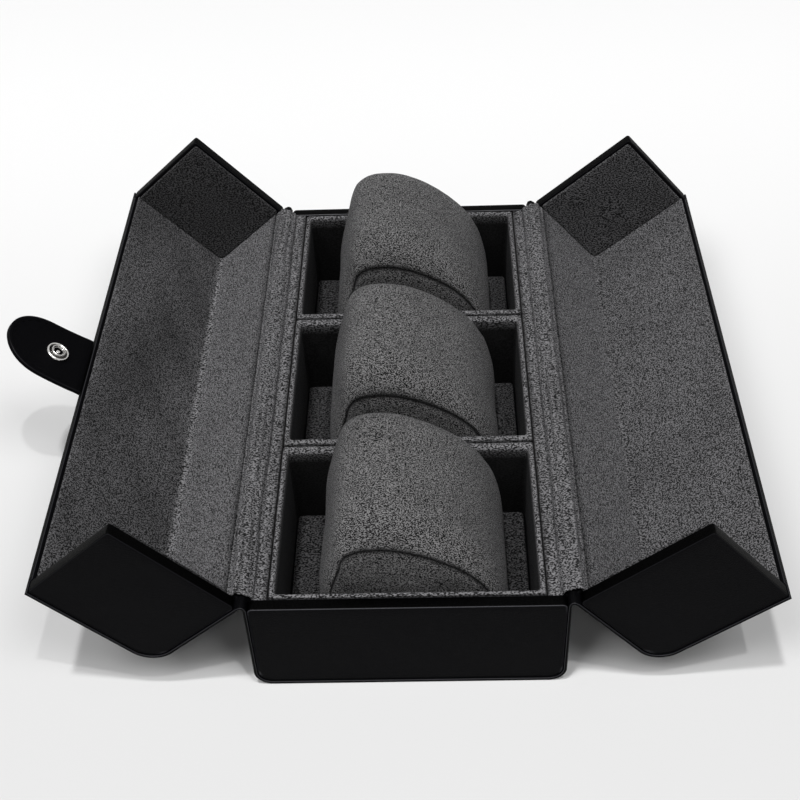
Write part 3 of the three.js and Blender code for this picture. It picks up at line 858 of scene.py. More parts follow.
def build_lid_panel(lid, end, size):
    """The same board in the lid's own frame, with the large radius at its outer corner. Its free edge and the edge
    that meets the tray get little gloss and painted highlight."""
    low, high = span(f"{lid.name}_{end}_panel")
    lap = size.end_skin + size.panel_gap
    reach, bottom = LID_REACH - 0.2, 0.6
    radii = (1.6, 1.0, 1.0, size.lid_corner - lap)
    start, stop = (LID_INNER - LID_STACK + lap, bottom), (reach, LID_TOP - lap)
    u, v, edge = plate(start, stop, radii, size.panel_round, LEATHER_PITCH)
    y = (low[1] + high[1]) / 2
    swell = size.unevenness * ripple(u, v, 31 + int(y > 0) + 2 * lid.side) * eased(edge / PANEL_FADE)
    panel = slab(
        f"{lid.name}_{end}_panel_leather", lid.lid(u, y, v), (0, np.sign(y), 0), edge, high[1] - low[1],
        size.panel_round, finish_of("case_leather"), swell,
        ridge_gloss_and_highlight=panel_gloss_and_highlight(np.minimum(reach - u, v - bottom), edge),
    )
    return settle(panel, lid.name, "black_leather", f"{lid.name}_{end}_panel")


def bay_limits():
    """Limits along the case of each compartment's lining, from outer front to inner front, inner rear and outer rear.
    Two linings meet in a narrow seam over a divider's middle."""
    half_seam = 0.12
    front, rear = (span(f"tray_{end}_lining") for end in ENDS)
    dividers = [span(f"{end}_divider") for end in ENDS]
    seams = [(low[1] + high[1]) / 2 for low, high in dividers]
    starts = [(front[0][1], front[1][1])]
    starts += [(seam + half_seam, high[1]) for seam, (_, high) in zip(seams, dividers)]
    stops = [(low[1], seam - half_seam) for seam, (low, _) in zip(seams, dividers)]
    stops += [(rear[0][1], rear[1][1])]
    return [start + stop for start, stop in zip(starts, stops)]


def build_bay(index, size):
    """One compartment's lining: a wall with a half-round welt on top, carried round a rectangle with small corners.
    The section is a superellipse over the wall's width, then straight down both faces."""
    name = BAYS[index]
    outer_low, inner_low, inner_high, outer_high = bay_limits()[index]
    side_low, side_high = span("tray_right_lining")
    inner_x, outer_x = side_low[0], side_high[0]
    floor, top = side_low[2], side_high[2]
    divider_top = span("front_divider")[1][2]
    counts, outer_corner, welt_power = (30, 22), 0.8, 0.8
    inner = outline((-inner_x, inner_low), (inner_x, inner_high), size.bay_corner, counts)
    outer = outline((-outer_x, outer_low), (outer_x, outer_high), outer_corner, counts)
    y = (inner + outer)[:, 1] / 2
    near_divider = np.zeros(len(y))
    if index > 0:
        near_divider = np.maximum(near_divider, 1 - eased((y - inner_low + 1.5) / 4))
    if index < len(BAYS) - 1:
        near_divider = np.maximum(near_divider, 1 - eased((inner_high + 1.5 - y) / 4))
    rim = (top - (top - divider_top) * near_divider)[:, None]
    turn = np.linspace(0, np.pi, 13)
    bend_across = 0.5 - 0.5 * np.sign(np.cos(turn)) * np.abs(np.cos(turn)) ** welt_power
    bend_height = -size.welt_height * (1 - np.sin(turn) ** welt_power)
    drop = np.linspace(0, 1, 10)[:-1]
    across = np.concatenate([np.zeros(len(drop)), bend_across, np.ones(3)])
    wall = rim - size.welt_height - floor
    height = np.concatenate([floor + wall * drop, rim + bend_height, floor + wall * np.array([0.75, 0.3, 0.0])], 1)
    across = np.broadcast_to(across, height.shape)
    travel = along(np.vstack([inner, inner[:1]]))[:-1, None]
    inside = across < 0.5
    loose = inside * eased((rim - height) / 5)
    shift = 0.22 * loose * ripple(travel * np.ones(height.shape), height, 41 + index, 40, 12)
    crest = 0.1 * ripple(travel, travel * 0 + 7, 44 + index, 16, 5) * (height > rim - size.welt_height)
    # painted shade: darker down the inner face of the wall and on its outer face
    laid = eased((rim - 0.6 * size.welt_height - height) / 1.4) * inside + 0.85 * eased((across - 0.72) / 0.2)
    velvet = finish_of("lining_velvet")
    piece = ring(f"{name}_bay_lining", inner, outer, across, height + crest, velvet, {"laid": laid}, shift)
    cross_walls = ("tray_front_lining", "front_divider", "rear_divider", "tray_rear_lining")[index:index + 2]
    return settle(piece, "tray", "velvet_lining", "tray_left_lining", "tray_right_lining", *cross_walls)


def build_floor_pad(index):
    """A thin pad with long shallow wrinkles: waves across the case that wander slowly along it."""
    name = BAYS[index]
    low, high = span(f"{name}_floor_pad")
    rim = 1.1
    u, v, edge = plate(low[:2], high[:2], (1.5,) * 4, rim, 1.6)
    waves = ripple(u, v * 0.12, 51 + index, 11, 3.5, 8)
    relief = 0.28 * waves * eased(edge / 4) - 0.25 * bell(edge - 3.0, 1.1) - 0.1
    middle = np.stack([u, v, np.full(u.shape, (low[2] + high[2]) / 2)], -1)
    # painted shade: the whole pad is darkened, as it lies down in the compartment
    pad = slab(
        f"{name}_floor_pad_velvet", middle, (0, 0, 1), edge, high[2] - low[2], rim, finish_of("pad_velvet"), relief,
        laid=0.62,
    )
    settle(pad, "tray", "velvet_lining", f"{name}_floor_pad")
    return pad


def build_lid_lining(lid, size):
    """The card up the lid's side, round the corner and across its top: a line in the lid's section carried along it.
    Past the corner its colour is darkened in clouds as painted shade, more in the left lid; the right one has
    painted shade along the fold, and both along the lower edge by the hinge band."""
    low, high = span(f"{lid.name}_side_lining")
    sunk, radius, rim = 0.2, 3.2, 0.5
    face = LID_INNER + size.lining / 2 - sunk
    crown = LID_TOP - LID_STACK - size.lining / 2 + sunk
    bottom, free = 2.7, LID_REACH - 1.0
    turn = np.radians(np.linspace(180, 90, 7))
    rise = bottom + stations(crown - radius - bottom, rim, LINING_PITCH)
    run = face + radius + stations(free - face - radius, rim, LINING_PITCH)
    line = np.concatenate([
        np.stack([np.full(len(rise) - 5, face), rise[:-5]], -1),
        np.stack([face + radius + radius * np.cos(turn), crown - radius + radius * np.sin(turn)], -1),
        np.stack([run[5:], np.full(len(run) - 5, crown)], -1),
    ])
    facing = -left_of(line)
    y = low[1] + stations(high[1] - low[1], rim, LINING_PITCH)
    travel = along(line)
    edge = from_edges(travel, y)
    travel = travel[:, None]
    uneven = 0.16 * ripple(travel, y[None, :], 61 + lid.side, 70, 18) * eased(edge / 7)
    middle = lid.lid(line[:, 0, None], y[None, :], line[:, 1, None])
    normal = lid.lid_direction(facing[:, 0], facing[:, 1])[:, None, :]
    past_fold = travel - travel[len(rise) - 2]
    # painted shade: darker in clouds past the corner, along the fold in the right lid, and along the lower edge by
    # the hinge band
    clouds = 1 + 0.35 * ripple(travel, y[None, :], 65 + lid.side, 60, 18)
    share, fold_painted_shade = {LEFT: (0.45, 0.0), RIGHT: (0.17, 0.3)}[lid.side]
    laid = share * eased(past_fold / 1.2) * clouds + fold_painted_shade * bell(past_fold, 2.2) + 0.8 * bell(travel, 0.7)
    velvet = finish_of("lining_velvet")
    piece = slab(
        f"{lid.name}_lining", middle, normal, edge, size.lining, rim, velvet, uneven, laid=np.clip(laid, 0, 1)
    )
    return settle(piece, lid.name, "velvet_lining", f"{lid.name}_side_lining", f"{lid.name}_top_lining")


def build_lid_card(lid, end, size):
    """The velvet card on the inside of a lid's end panel."""
    low, high = span(f"{lid.name}_{end}_lining")
    sunk, clear = 0.1, 1.4
    start = (LID_INNER + size.lining - sunk, clear)
    stop = (LID_REACH - clear, LID_TOP - LID_STACK - size.lining + sunk)
    u, v, edge = plate(start, stop, (1.0, 1.0, 0.6, 1.6), 0.5, LINING_PITCH)
    y = (low[1] + high[1]) / 2
    uneven = 0.12 * ripple(u, v, 71 + lid.side + int(y > 0) * 3, 40, 14) * eased(edge / PANEL_FADE)
    # painted shade: the whole card is darkened, more in the left lid
    piece = slab(
        f"{lid.name}_{end}_card", lid.lid(u, y, v), (0, -np.sign(y), 0), edge, high[1] - low[1] + 0.3, 0.45,
        finish_of("lining_velvet"), uneven, laid={LEFT: 0.72, RIGHT: 0.5}[lid.side],
    )
    return settle(piece, lid.name, "velvet_lining", f"{lid.name}_{end}_lining")


def build_hinge_lining(lid, size):
    """The loose velvet band over the hinge: a curve from the tray's rim over the axis and down the lid's side,
    carried along the case, with long wrinkles whose crests wander from side to side."""
    name = SIDES[lid.side]
    low, high = span(f"{name}_hinge_lining")
    half, rim = size.hinge_lining / 2, 0.35
    start = abs(lid.x) - min(abs(high[0]), abs(low[0]))
    base = low[2] + half - lid.z
    face = LID_INNER - 0.35 + half
    line = smooth_line([
        (start, base), (start - 3.6, base + 0.1), (2.2, 1.5),
        lid.turned(3.3, -1.0), lid.turned(face, 0.4), lid.turned(face, 3.4),
    ], 200)
    travel = along(line)
    at = stations(travel[-1], rim, 0.32)
    line = sampled(at, travel, line)
    outward = -left_of(line)
    y = low[1] + stations(high[1] - low[1], rim, 1.5)
    across, y_grid = np.meshgrid(at, y, indexing="ij")
    wander = 0.9 * ripple(y_grid * 0, y_grid, 81 + lid.side, 90, 30)
    crests = np.cos(2 * np.pi * (across + wander) / 2.9)
    crests += 0.5 * np.cos(2 * np.pi * (across * 1.7 - wander) / 3.1 + 1.3)
    strength = 0.6 + 0.4 * ripple(across * 0.4, y_grid, 84 + lid.side, 60, 20)
    wrinkle = size.hinge_wrinkle * 0.6 * crests * strength * eased(from_ends(at) / 2.5)[:, None]
    normal = lid.direction(outward[:, 0], outward[:, 1])[:, None, :]
    middle = lid.row(line[:, 0, None], y[None, :], line[:, 1, None]) + normal * wrinkle[..., None]
    # painted shade: darker in the wrinkles' troughs and along the edge at the tray's rim
    laid = np.clip(0.26 * (1 - crests) * strength - 0.12, 0, 0.8) + 0.6 * bell(at[:, None], 0.8)
    piece = slab(
        f"{name}_hinge_velvet", middle, normal, from_edges(at, y), size.hinge_lining, rim,
        finish_of("hinge_velvet"), laid=laid,
    )
    bend_radius = 2.5
    return bend(piece, lid, bend_radius, "velvet_lining", f"{name}_hinge_lining")


# ---------------------------------------------------------------- cushions

def cushion_outline(low, high, count):
    """A cushion's end view as a closed line: flat under, upright at the left, a high round shoulder and a long
    slope down to the right. Six cubic Bezier arcs between the box's own limits, then even spacing."""
    x0, z0, x1, z1 = low[0], low[2], high[0], high[2]
    arcs = [
        [(30, z0), (32.2, z0), (x1, 11), (x1, 17)],
        [(x1, 17), (x1, 32.5), (27.3, 47.5), (13.4, 57)],
        [(13.4, 57), (6.6, 61.8), (-1.5, z1), (-9, z1)],
        [(-9, z1), (-17.5, z1), (-22.5, 63), (-24, 54)],
        [(-24, 54), (-25.5, 45), (x0, 36), (x0, 24)],
        [(x0, 24), (x0, 14), (-29, z0), (-26, z0)],
    ]
    t = np.linspace(0, 1, 41)[:-1, None]
    weights = ((1 - t) ** 3, 3 * (1 - t) ** 2 * t, 3 * (1 - t) * t**2, t**3)
    line = [sum(weight * np.array(p, float) for weight, p in zip(weights, arc)) for arc in arcs]
    line = np.concatenate([*line, [arcs[-1][-1], arcs[0][0]]])
    travel = along(line)
    return sampled(np.linspace(0, travel[-1], count, endpoint=False), travel, line)


def pillow(half, seam_scale, rows, cap_rows):
    """The whole cushion as rings from pole to pole. A ring's scale about the point under the cushion, across and up,
    is 1 along the middle and eases by a quarter ellipse to `seam_scale` at the seams; inside a seam it falls to a
    pole while the cap bulges by a parabola. Returns scale and place along the case of each ring."""
    shoulder = 12.0
    seam_scale = np.array(seam_scale)
    seam = half - SEAM_INSET
    turn = np.linspace(0, np.pi / 2, 15)
    bend_at = seam - shoulder
    end_y = bend_at + (seam - bend_at) * np.sin(turn)
    end_scale = seam_scale + (1 - seam_scale) * np.cos(turn)[:, None]
    middle_y = np.linspace(-bend_at, bend_at, rows)[1:-1]
    y = np.concatenate([-end_y[::-1], middle_y, end_y])
    scale = np.concatenate([end_scale[::-1], np.ones((len(middle_y), 2)), end_scale])
    inner = np.sin(np.linspace(np.pi / 2, 0, cap_rows + 1)[1:-1])
    bulge = seam + (half - seam) * (1 - inner**2)
    y = np.concatenate([-bulge[::-1], y, bulge])
    ends = inner[:, None] * seam_scale
    return np.concatenate([ends[::-1], scale, ends]), y


def rings_to_points(line, pole, scale, y, y_mid):
    """Each ring is the outline drawn towards the pole point by its scale, at its place along the case."""
    plan = pole + (line[None, :, :] - pole) * scale[:, None, :]
    return np.stack([plan[..., 0], np.broadcast_to((y + y_mid)[:, None], plan.shape[:2]), plan[..., 1]], -1)


def closed_rings(points):
    """Rings of equal count, closed round and at both ends by fans to the rings' middles."""
    n, m = points.shape[:2]
    grid = closed_round(np.arange(n * m).reshape(n, m))
    ends = np.stack([points[0].mean(0), points[-1].mean(0)])
    return np.vstack([points.reshape(-1, 3), ends]), [quads(grid), *fans(grid, n * m, n * m + 1)]


def applied(piece):
    """The piece's mesh with its modifiers applied, in place of its own."""
    graph = bpy.context.evaluated_depsgraph_get()
    mesh = bpy.data.meshes.new_from_object(piece.evaluated_get(graph))
    piece.modifiers.clear()
    piece.data = mesh
    return mesh


def stuff_with_cloth(pillows, limit):
    """Remeshes copies of the pillows, lets cloth under pressure swell them for 20 frames with gravity off, caps how
    far each point went, and smooths them by one subdivision."""
    voxel, frames = 0.004, 20
    rest = []
    for index, pad in enumerate(pillows):
        remesh = pad.modifiers.new("remesh", "REMESH")
        remesh.mode, remesh.voxel_size = "VOXEL", voxel
        rest.append(read_points(applied(pad)))
        cloth = pad.modifiers.new("cloth", "CLOTH")
        cloth.settings.use_pressure = True
        cloth.settings.uniform_pressure_force = 4.0 + 0.4 * index
        cloth.settings.effector_weights.gravity = 0.0
        cloth.settings.quality = 6
        cloth.settings.tension_stiffness = cloth.settings.compression_stiffness = 30
        cloth.settings.bending_stiffness = 1.5
        cloth.collision_settings.use_collision = False
    scene = bpy.context.scene
    for step in range(1, frames + 1):
        scene.frame_set(step)
    for pad, start in zip(pillows, rest):
        mesh = applied(pad)
        move = read_points(mesh) - start
        reach = np.linalg.norm(move, axis=1, keepdims=True)
        move *= np.minimum(1, limit * MM / np.maximum(reach, 1e-9))
        mesh.vertices.foreach_set("co", (start + move).astype(np.float32).ravel())
        finer = pad.modifiers.new("finer", "SUBSURF")
        finer.levels = finer.render_levels = 1
        applied(pad)
    scene.frame_set(1)


def unit_normals(points):
    """Outward directions of closed rings, from differences along and round them."""
    down = np.gradient(points, axis=0)
    around = np.roll(points, -1, 1) - np.roll(points, 1, 1)
    normal = np.cross(down, around)
    normal /= np.maximum(np.linalg.norm(normal, axis=-1, keepdims=True), 1e-9)
    centre = points.reshape(-1, 3).mean(0)
    outward = np.sign(np.einsum("ijk,ijk->", normal, points - centre))
    return normal * outward


def build_cushions(size):
    """Three loose cushions. Each cover and its two sewn ends are cut from one surface, laid on the stuffed form."""
    count, rows, cap_rows, seam_scale = 168, 44, 12, (0.93, 0.8)
    form_scale, form_middle, shorter, raised = 0.965, 28.0, 0.8, 0.9
    hug_share = 0.75
    suede = finish_of("suede_nap")
    forms, surfaces = [], []
    for name in BAYS:
        low, high = span(f"{name}_cushion_cover")
        ends = span(f"{name}_cushion_front_cap")[0][1], span(f"{name}_cushion_rear_cap")[1][1]
        y_mid, half = sum(ends) / 2, (ends[1] - ends[0]) / 2
        line = cushion_outline(low, high, count)
        line[:, 1] = low[2] + (line[:, 1] - low[2]) * BAY_HEIGHTS[name]
        scale, y = pillow(half, seam_scale, rows, cap_rows)
        fine = rings_to_points(line, np.array([POLE_X, low[2]]), scale, y, y_mid)
        surfaces.append((name, fine, y, half, low))
        scale, y = pillow(half - shorter, seam_scale, rows, cap_rows)
        middle = np.array([POLE_X, low[2] + form_middle])
        inset = middle + (line - middle) * form_scale
        points = rings_to_points(inset, np.array([POLE_X, low[2] + raised]), scale, y, y_mid)
        forms.append(make_piece(f"{name}_cushion_form", *closed_rings(points), suede))
    if forms:
        stuff_with_cloth(forms, size.puff_limit)
    for index, (name, shape, y, half, low) in enumerate(surfaces):
        if forms:
            draft = make_piece(f"{name}_cushion_draft", *closed_rings(shape), suede)
            hug = draft.modifiers.new("hug", "SHRINKWRAP")
            hug.target = forms[index]
            hug.wrap_method = "NEAREST_SURFACEPOINT"
            laid = read_points(applied(draft))[:-2].reshape(shape.shape) / MM
            shape = laid * hug_share + shape * (1 - hug_share)
            bpy.data.objects.remove(draft)
            bpy.data.objects.remove(forms[index])
        cut_cushion(name, shape, y, half, low, size, index)


def cut_cushion(name, shape, y, half, low, size, index):
    """Sinks the two seams by a bell curve of the distance along the surface, puckers the cloth beside them, and cuts
    the surface into a cover and two ends, each closed behind by rings that fold in. The seams, the two ends and the
    folded rings are darkened as painted shade."""
    normal = unit_normals(shape)
    first, last = (int(np.argmin(np.abs(y - seam))) for seam in (SEAM_INSET - half, half - SEAM_INSET))
    step = np.linalg.norm(np.diff(shape, axis=0), axis=-1).mean(1)
    travel = np.concatenate([[0], np.cumsum(step)])[:, None]
    from_seam = np.minimum(np.abs(travel - travel[first]), np.abs(travel - travel[last]))
    turn = np.linspace(0, 2 * np.pi, shape.shape[1], endpoint=False)[None, :]
    pucker = np.sin(41 * turn + 5 * np.sin(3 * turn + index)) * np.sin(7 * turn + index)
    dip = size.seam_depth * bell(from_seam, 0.45) + 0.14 * pucker * np.exp(-from_seam / 3.0)
    uneven = 0.3 * ripple(travel, turn * 28, 91 + index, 60, 16) * eased(from_seam / SKIN_FADE)
    lifted = eased((shape[..., 2] - low[2]) / 3)
    shape = shape - normal * ((dip - uneven) * lifted)[..., None]
    shape[..., 2] = np.maximum(shape[..., 2], low[2])
    # painted shade: darker along the two seams and over the two ends
    dark = bell(from_seam, 0.6) * np.ones(shape.shape[:2])
    for end in (slice(None, first), slice(last + 1, None)):
        dark[end] = np.maximum(dark[end], 0.35)

    def folded(seam, towards):
        """Two rings behind a seam, drawn in and sunk away from the opening."""
        row, middle = shape[seam], shape[seam].mean(0)
        steps = (0.06, 0.5), (0.3, 0.8)
        return [row + (middle - row) * part + np.array([0, towards * sink, 0]) for part, sink in steps]

    body = f"{name}_cushion"
    behind_front, behind_rear = folded(first, 1), folded(last, -1)
    for label, node, before, rows, after in (
        ("cover_suede", "cover", behind_front[::-1], slice(first, last + 1), behind_rear),
        ("front_end", "front_cap", [], slice(None, first + 1), behind_front[:1]),
        ("rear_end", "rear_cap", behind_rear[:1], slice(last, None), []),
    ):
        points, faces = closed_rings(np.stack([*before, *shape[rows], *after]))
        # painted shade: the folded-in rings behind the seams are fully darkened
        hidden = [np.ones(shape.shape[1])]
        laid = np.concatenate([*hidden * len(before), dark[rows].ravel(), *hidden * len(after), [0.0, 0.0]])
        piece = make_piece(f"{body}_{label}", points, faces, finish_of("suede_nap"), {"laid": laid}, sharp=180)
        settle(piece, body, "cushion_suede", f"{body}_{node}")


# ---------------------------------------------------------------- strap and snap

class StrapPlace:
    """The open strap's frame: along from its fold, across the case, and out from the left lid's face."""

    droop = math.radians(-JOINTS["strap_fold"]["range_deg"][0])

    def __init__(self, lid):
        self.lid = lid
        self.half = span("strap_anchor")[1][1]
        pivot = np.array(JOINTS["strap_fold"]["pos_m"]) / MM
        self.u, self.w = lid.shut(pivot[0], pivot[2])

    def lid_point(self, reach, out):
        c, s = math.cos(self.droop), math.sin(self.droop)
        return self.u + reach * c - out * s, self.w + reach * s + out * c

    def place(self, reach, y, out):
        u, w = self.lid_point(np.asarray(reach, float), np.asarray(out, float))
        return self.lid.lid(u, y, w)


def strap_section(strap):
    """Middle of the strap seen from its side, in the lid's frame: flat on the lid, standing off at the fold to clear
    the snap, and straight out to the tip."""
    behind = [(24.0, 0), (18, 0), (12, 0.1), (8, 0.5), (4.5, 1.1), (1.5, 1.6)]
    free = [(1.0, 1.8), (3.0, 1.9), (6.0, 1.9), (SNAP_REACH, STRAP_STEP), (16.0, 1.45), (22.0, 0.9), (29.5, 0.0)]
    fixed = [(strap.u - back, strap.w + rise) for back, rise in behind]
    return smooth_line(fixed + [strap.lid_point(*point) for point in free], 400)


def strap_width(reach, half, tip):
    """Half width along the strap: straight, a little narrower outwards, then a superellipse to the tip."""
    start = tip - STRAP_TIP
    straight = half - 0.02 * np.maximum(reach, 0)
    t = np.clip((reach - start) / (tip - start), 0, 1)
    return straight * np.sqrt(1 - t**2.3)


def build_strap(lid, size):
    """One long leather strap: its side view carried across, and cut to a rounded tip. The face that shows has a
    shallow groove where the stitches lie."""
    strap = StrapPlace(lid)
    line = strap_section(strap)
    travel = along(line)
    fold = travel[int(np.argmin(np.hypot(line[:, 0] - strap.u, line[:, 1] - strap.w)))]
    length = travel[-1]
    tip = length - fold
    near_tip = length - STRAP_TIP * (1 - np.cos(np.linspace(0, np.pi / 2, 26)))
    at = np.concatenate([stations(length - STRAP_TIP, STRAP_RIM, 1.1)[:-5], near_tip[::-1]])
    blunt = 0.004
    at[-1] = length - blunt
    half = strap_width(at - fold, strap.half, tip)
    share = stations(2 * strap.half, STRAP_RIM, 1.0) / strap.half - 1
    y = half[:, None] * share[None, :]
    section = sampled(at, travel, line)
    to_lid = -sampled(at, travel, left_of(line))
    middle = lid.lid(section[:, 0, None], y, section[:, 1, None])
    normal = lid.lid_direction(to_lid[:, 0], to_lid[:, 1])[:, None, :]
    to_side = half[:, None] - np.abs(y)
    to_tip = np.hypot((at[:, None] - at)[:, None, :], np.abs(y)[..., None] - half).min(-1)
    edge = np.minimum(np.minimum(to_side, to_tip), at[:, None])
    inside = edge - size.stitch_inset
    groove = -0.22 * bell(inside, 0.35) - 0.12 * eased(inside / 1.2)
    # the strap's edges get gloss and a painted highlight on their ridges, and painted shade on their cut sides
    piece = slab("closing_strap", middle, normal, edge, STRAP_THICK, 0.7, finish_of("strap_leather"), groove)
    start, end = (tuple(strap.place(reach, 0.0, 0.0) * MM) for reach in (-1.6, 1.6))
    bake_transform(piece)
    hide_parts("strap_anchor", "strap_outer_layer", "strap_inner_layer")
    build_stitches(strap, line, travel, fold, tip, size)
    return piece


def build_stitches(strap, line, travel, fold, tip, size):
    """Stitches on both faces of the free part: small capsules set end to end along a line inside the outline."""
    begin, sunk, radius = 3.5, 0.12, 0.24
    at = fold + begin + (tip - begin) * np.sin(np.linspace(0, np.pi / 2, 400))
    edge = np.stack([at, strap_width(at - fold, strap.half, tip)], -1)
    run = edge - left_of(edge) * size.stitch_inset
    run = run[run[:, 1] > 0.0]
    both = np.vstack([run, run[::-1] * [1, -1]])
    distance = along(both)
    count = int((distance[-1] - size.stitch_length) / size.stitch_pitch)
    middles = np.linspace(size.stitch_length / 2, distance[-1] - size.stitch_length / 2, count)
    rings = np.array([-1, -0.86, -0.5, 0, 0.5, 0.86, 1]) * size.stitch_length / 2
    girth = np.array([0.2, 0.75, 0.95, 1.0, 0.95, 0.75, 0.2])[:, None] * radius
    turn = np.linspace(0, 2 * np.pi, 6, endpoint=False)
    where = middles[:, None] + rings[None, :]
    plan = sampled(where, distance, both)
    ahead = sampled(where + 0.2, distance, both) - sampled(where - 0.2, distance, both)
    ahead /= np.linalg.norm(ahead, axis=-1, keepdims=True)
    sink = sunk * (np.abs(rings) / rings[-1])[:, None] ** 2
    slope = np.gradient(line, axis=0) / np.gradient(travel)[:, None]
    side = girth * np.cos(turn)
    reach = plan[..., 0, None] - ahead[..., 1, None] * side
    y = plan[..., 1, None] + ahead[..., 0, None] * side
    section, tangent = sampled(reach, travel, line), sampled(reach, travel, slope)
    all_points, blocks, total = [], [], 0
    for face in (-1, 1):
        out = face * (STRAP_THICK / 2 - sunk - sink) + girth * np.sin(turn)
        points = strap.lid.lid(section[..., 0] - tangent[..., 1] * out, y, section[..., 1] + tangent[..., 0] * out)
        grid = total + np.arange(y.size).reshape(y.shape)
        grid = np.concatenate([grid, grid[:, :, :1]], 2)
        sides = np.stack([grid[:, :-1, :-1], grid[:, 1:, :-1], grid[:, 1:, 1:], grid[:, :-1, 1:]], -1).reshape(-1, 4)
        caps = np.concatenate([grid[:, 0, :-1][:, ::-1], grid[:, -1, :-1]])
        all_points.append(points.reshape(-1, 3))
        blocks += [sides, caps]
        total += y.size
    points = np.concatenate(all_points)
    piece = make_piece("strap_stitches", points, blocks, finish_of("stitch_thread"))
    return settle(piece, "strap", "black_leather")


def turned_on(place_point, profile, origin, facing, segments=56):
    """A turned shape stood on a face: its axis along `facing`, its radius along the two directions in the face. Also
    returns each point's distance from the axis."""
    points, faces = lathe(profile, segments)
    across, along_case, height = points.T
    return place_point(origin + across, along_case, facing(height)), faces, np.hypot(across, along_case)


def build_snap(lid):
    """The nickel snap: a socket with a rolled lip and its wire, held by a domed cap on the strap's outer side. The
    socket's two grooves are made rougher, and darkened in colour as painted shade."""
    strap = StrapPlace(lid)
    metal = finish_of("nickel_plate")

    sunk_inside, sunk_outside = 0.1, 0.15

    def on_inner(height):
        return STRAP_STEP - STRAP_THICK / 2 + sunk_inside - height

    def on_outer(height):
        return STRAP_STEP + STRAP_THICK / 2 - sunk_outside + height

    socket = smooth_line([
        (2.0, -0.25), (2.0, 0.5), (2.02, 1.2), (2.14, 1.44), (2.34, 1.5), (2.56, 1.34), (2.66, 0.9), (2.74, 0.25),
        (2.98, 0.02), (3.2, 0.25), (3.3, 0.65), (3.58, 0.9), (3.9, 0.84), (4.18, 0.5), (4.25, 0.05),
        (4.0, -0.25), (3.0, -0.3),
    ], 80, closed=True)
    post = smooth_line([(0.3, 0.75), (0.6, 0.68), (0.8, 0.45), (0.88, 0.1), (0.88, -0.4)], 14)
    post = [(0.0, 0.75), *post, (0.0, -0.4)]
    cap = smooth_line([(0.9, 1.28), (2.6, 1.08), (4.2, 0.62), (5.0, 0.2), (5.15, -0.05), (4.9, -0.2)], 26)
    cap = [(0.0, 1.3), *cap, (0.0, -0.2)]
    turn = np.linspace(0, 2 * np.pi, 12, endpoint=False)
    wire_ring, wire_height, wire_radius = 1.84, 0.85, 0.14
    wire = np.stack([wire_ring + wire_radius * np.cos(turn), wire_height + wire_radius * np.sin(turn)], -1)
    for name, profile, facing, nodes in (
        ("strap_snap_socket", socket, on_inner, ("snap_socket",)),
        ("strap_snap_post", post, on_inner, ()),
        ("strap_snap_spring", wire, on_inner, ("snap_spring",)),
        ("strap_snap_cap", cap, on_outer, ("snap_cap",)),
    ):
        points, faces, around = turned_on(strap.place, profile, SNAP_REACH, facing)
        # painted shade: the socket's two grooves are darkened in colour, and made rougher
        grooves = bell(around - 2.98, 0.3) + bell(around - 1.9, 0.2)
        masks = {"groove_roughness_and_shade": grooves} if profile is socket else None
        settle(make_piece(name, points, faces, metal, masks), "strap", "snap_metal", *nodes)


def build_stud(lid):
    """The snap's stud on the outside of the right lid: a round foot, a neck and a hollow head that fits inside the
    socket and round its post. Its centre is where the socket comes down when the case is shut."""
    strap = StrapPlace(LidPlace(LEFT))
    centre = lid.x - strap.lid.x - strap.u - SNAP_REACH
    profile = [(0.0, -0.2), *smooth_line([
        (3.9, -0.2), (4.25, 0.02), (4.15, 0.28), (3.6, 0.45), (2.4, 0.5), (1.55, 0.6), (1.35, 0.9), (1.4, 1.3),
        (1.6, 1.55), (1.56, 1.76), (1.36, 1.88), (1.14, 1.86), (1.02, 1.7), (1.0, 1.3), (0.9, 1.1), (0.6, 1.06),
    ], 48), (0.0, 1.05)]
    points, faces, _ = turned_on(lid.lid, profile, centre, lambda height: LID_TOP + height)
    stud = make_piece("lid_snap_stud", points, faces, finish_of("nickel_plate"))
    return settle(stud, lid.name, "snap_metal", "snap_stud")
# ---------------------------------------------------------------- operators

class PieceOperator(bpy.types.Operator):
    """Shared by the operators that build pieces."""

    bl_options = {"REGISTER", "UNDO"}

    def execute(self, context):
        self.build(in_millimetres(context.scene.watch_case_sizes))
        return {"FINISHED"}


class WATCHCASE_OT_skins(PieceOperator):
    """Leather skins that run under the tray, up its sides, over the hinges and round the lids"""

    bl_idname = "watchcase.skins"
    bl_label = "Leather skins"

    def build(self, size):
        for side in SIDES:
            build_skin(LidPlace(side), size)


class WATCHCASE_OT_end_panels(PieceOperator):
    """Leather covered boards that close the ends of the tray and the lids"""

    bl_idname = "watchcase.end_panels"
    bl_label = "End panels"

    def build(self, size):
        for end in ENDS:
            build_tray_panel(end, size)
            for side in SIDES:
                build_lid_panel(LidPlace(side), end, size)


class WATCHCASE_OT_compartments(PieceOperator):
    """Velvet linings and floor pads of the three compartments"""

    bl_idname = "watchcase.compartments"
    bl_label = "Compartments"

    def build(self, size):
        for index in range(len(BAYS)):
            build_bay(index, size)
            build_floor_pad(index)


class WATCHCASE_OT_lid_linings(PieceOperator):
    """Velvet covered cards inside the lids"""

    bl_idname = "watchcase.lid_linings"
    bl_label = "Lid linings"

    def build(self, size):
        for side in SIDES:
            lid = LidPlace(side)
            build_lid_lining(lid, size)
            for end in ENDS:
                build_lid_card(lid, end, size)


class WATCHCASE_OT_hinge_linings(PieceOperator):
    """Loose velvet bands over the two hinges"""

    bl_idname = "watchcase.hinge_linings"
    bl_label = "Hinge linings"

    def build(self, size):
        for side in SIDES:
            build_hinge_lining(LidPlace(side), size)


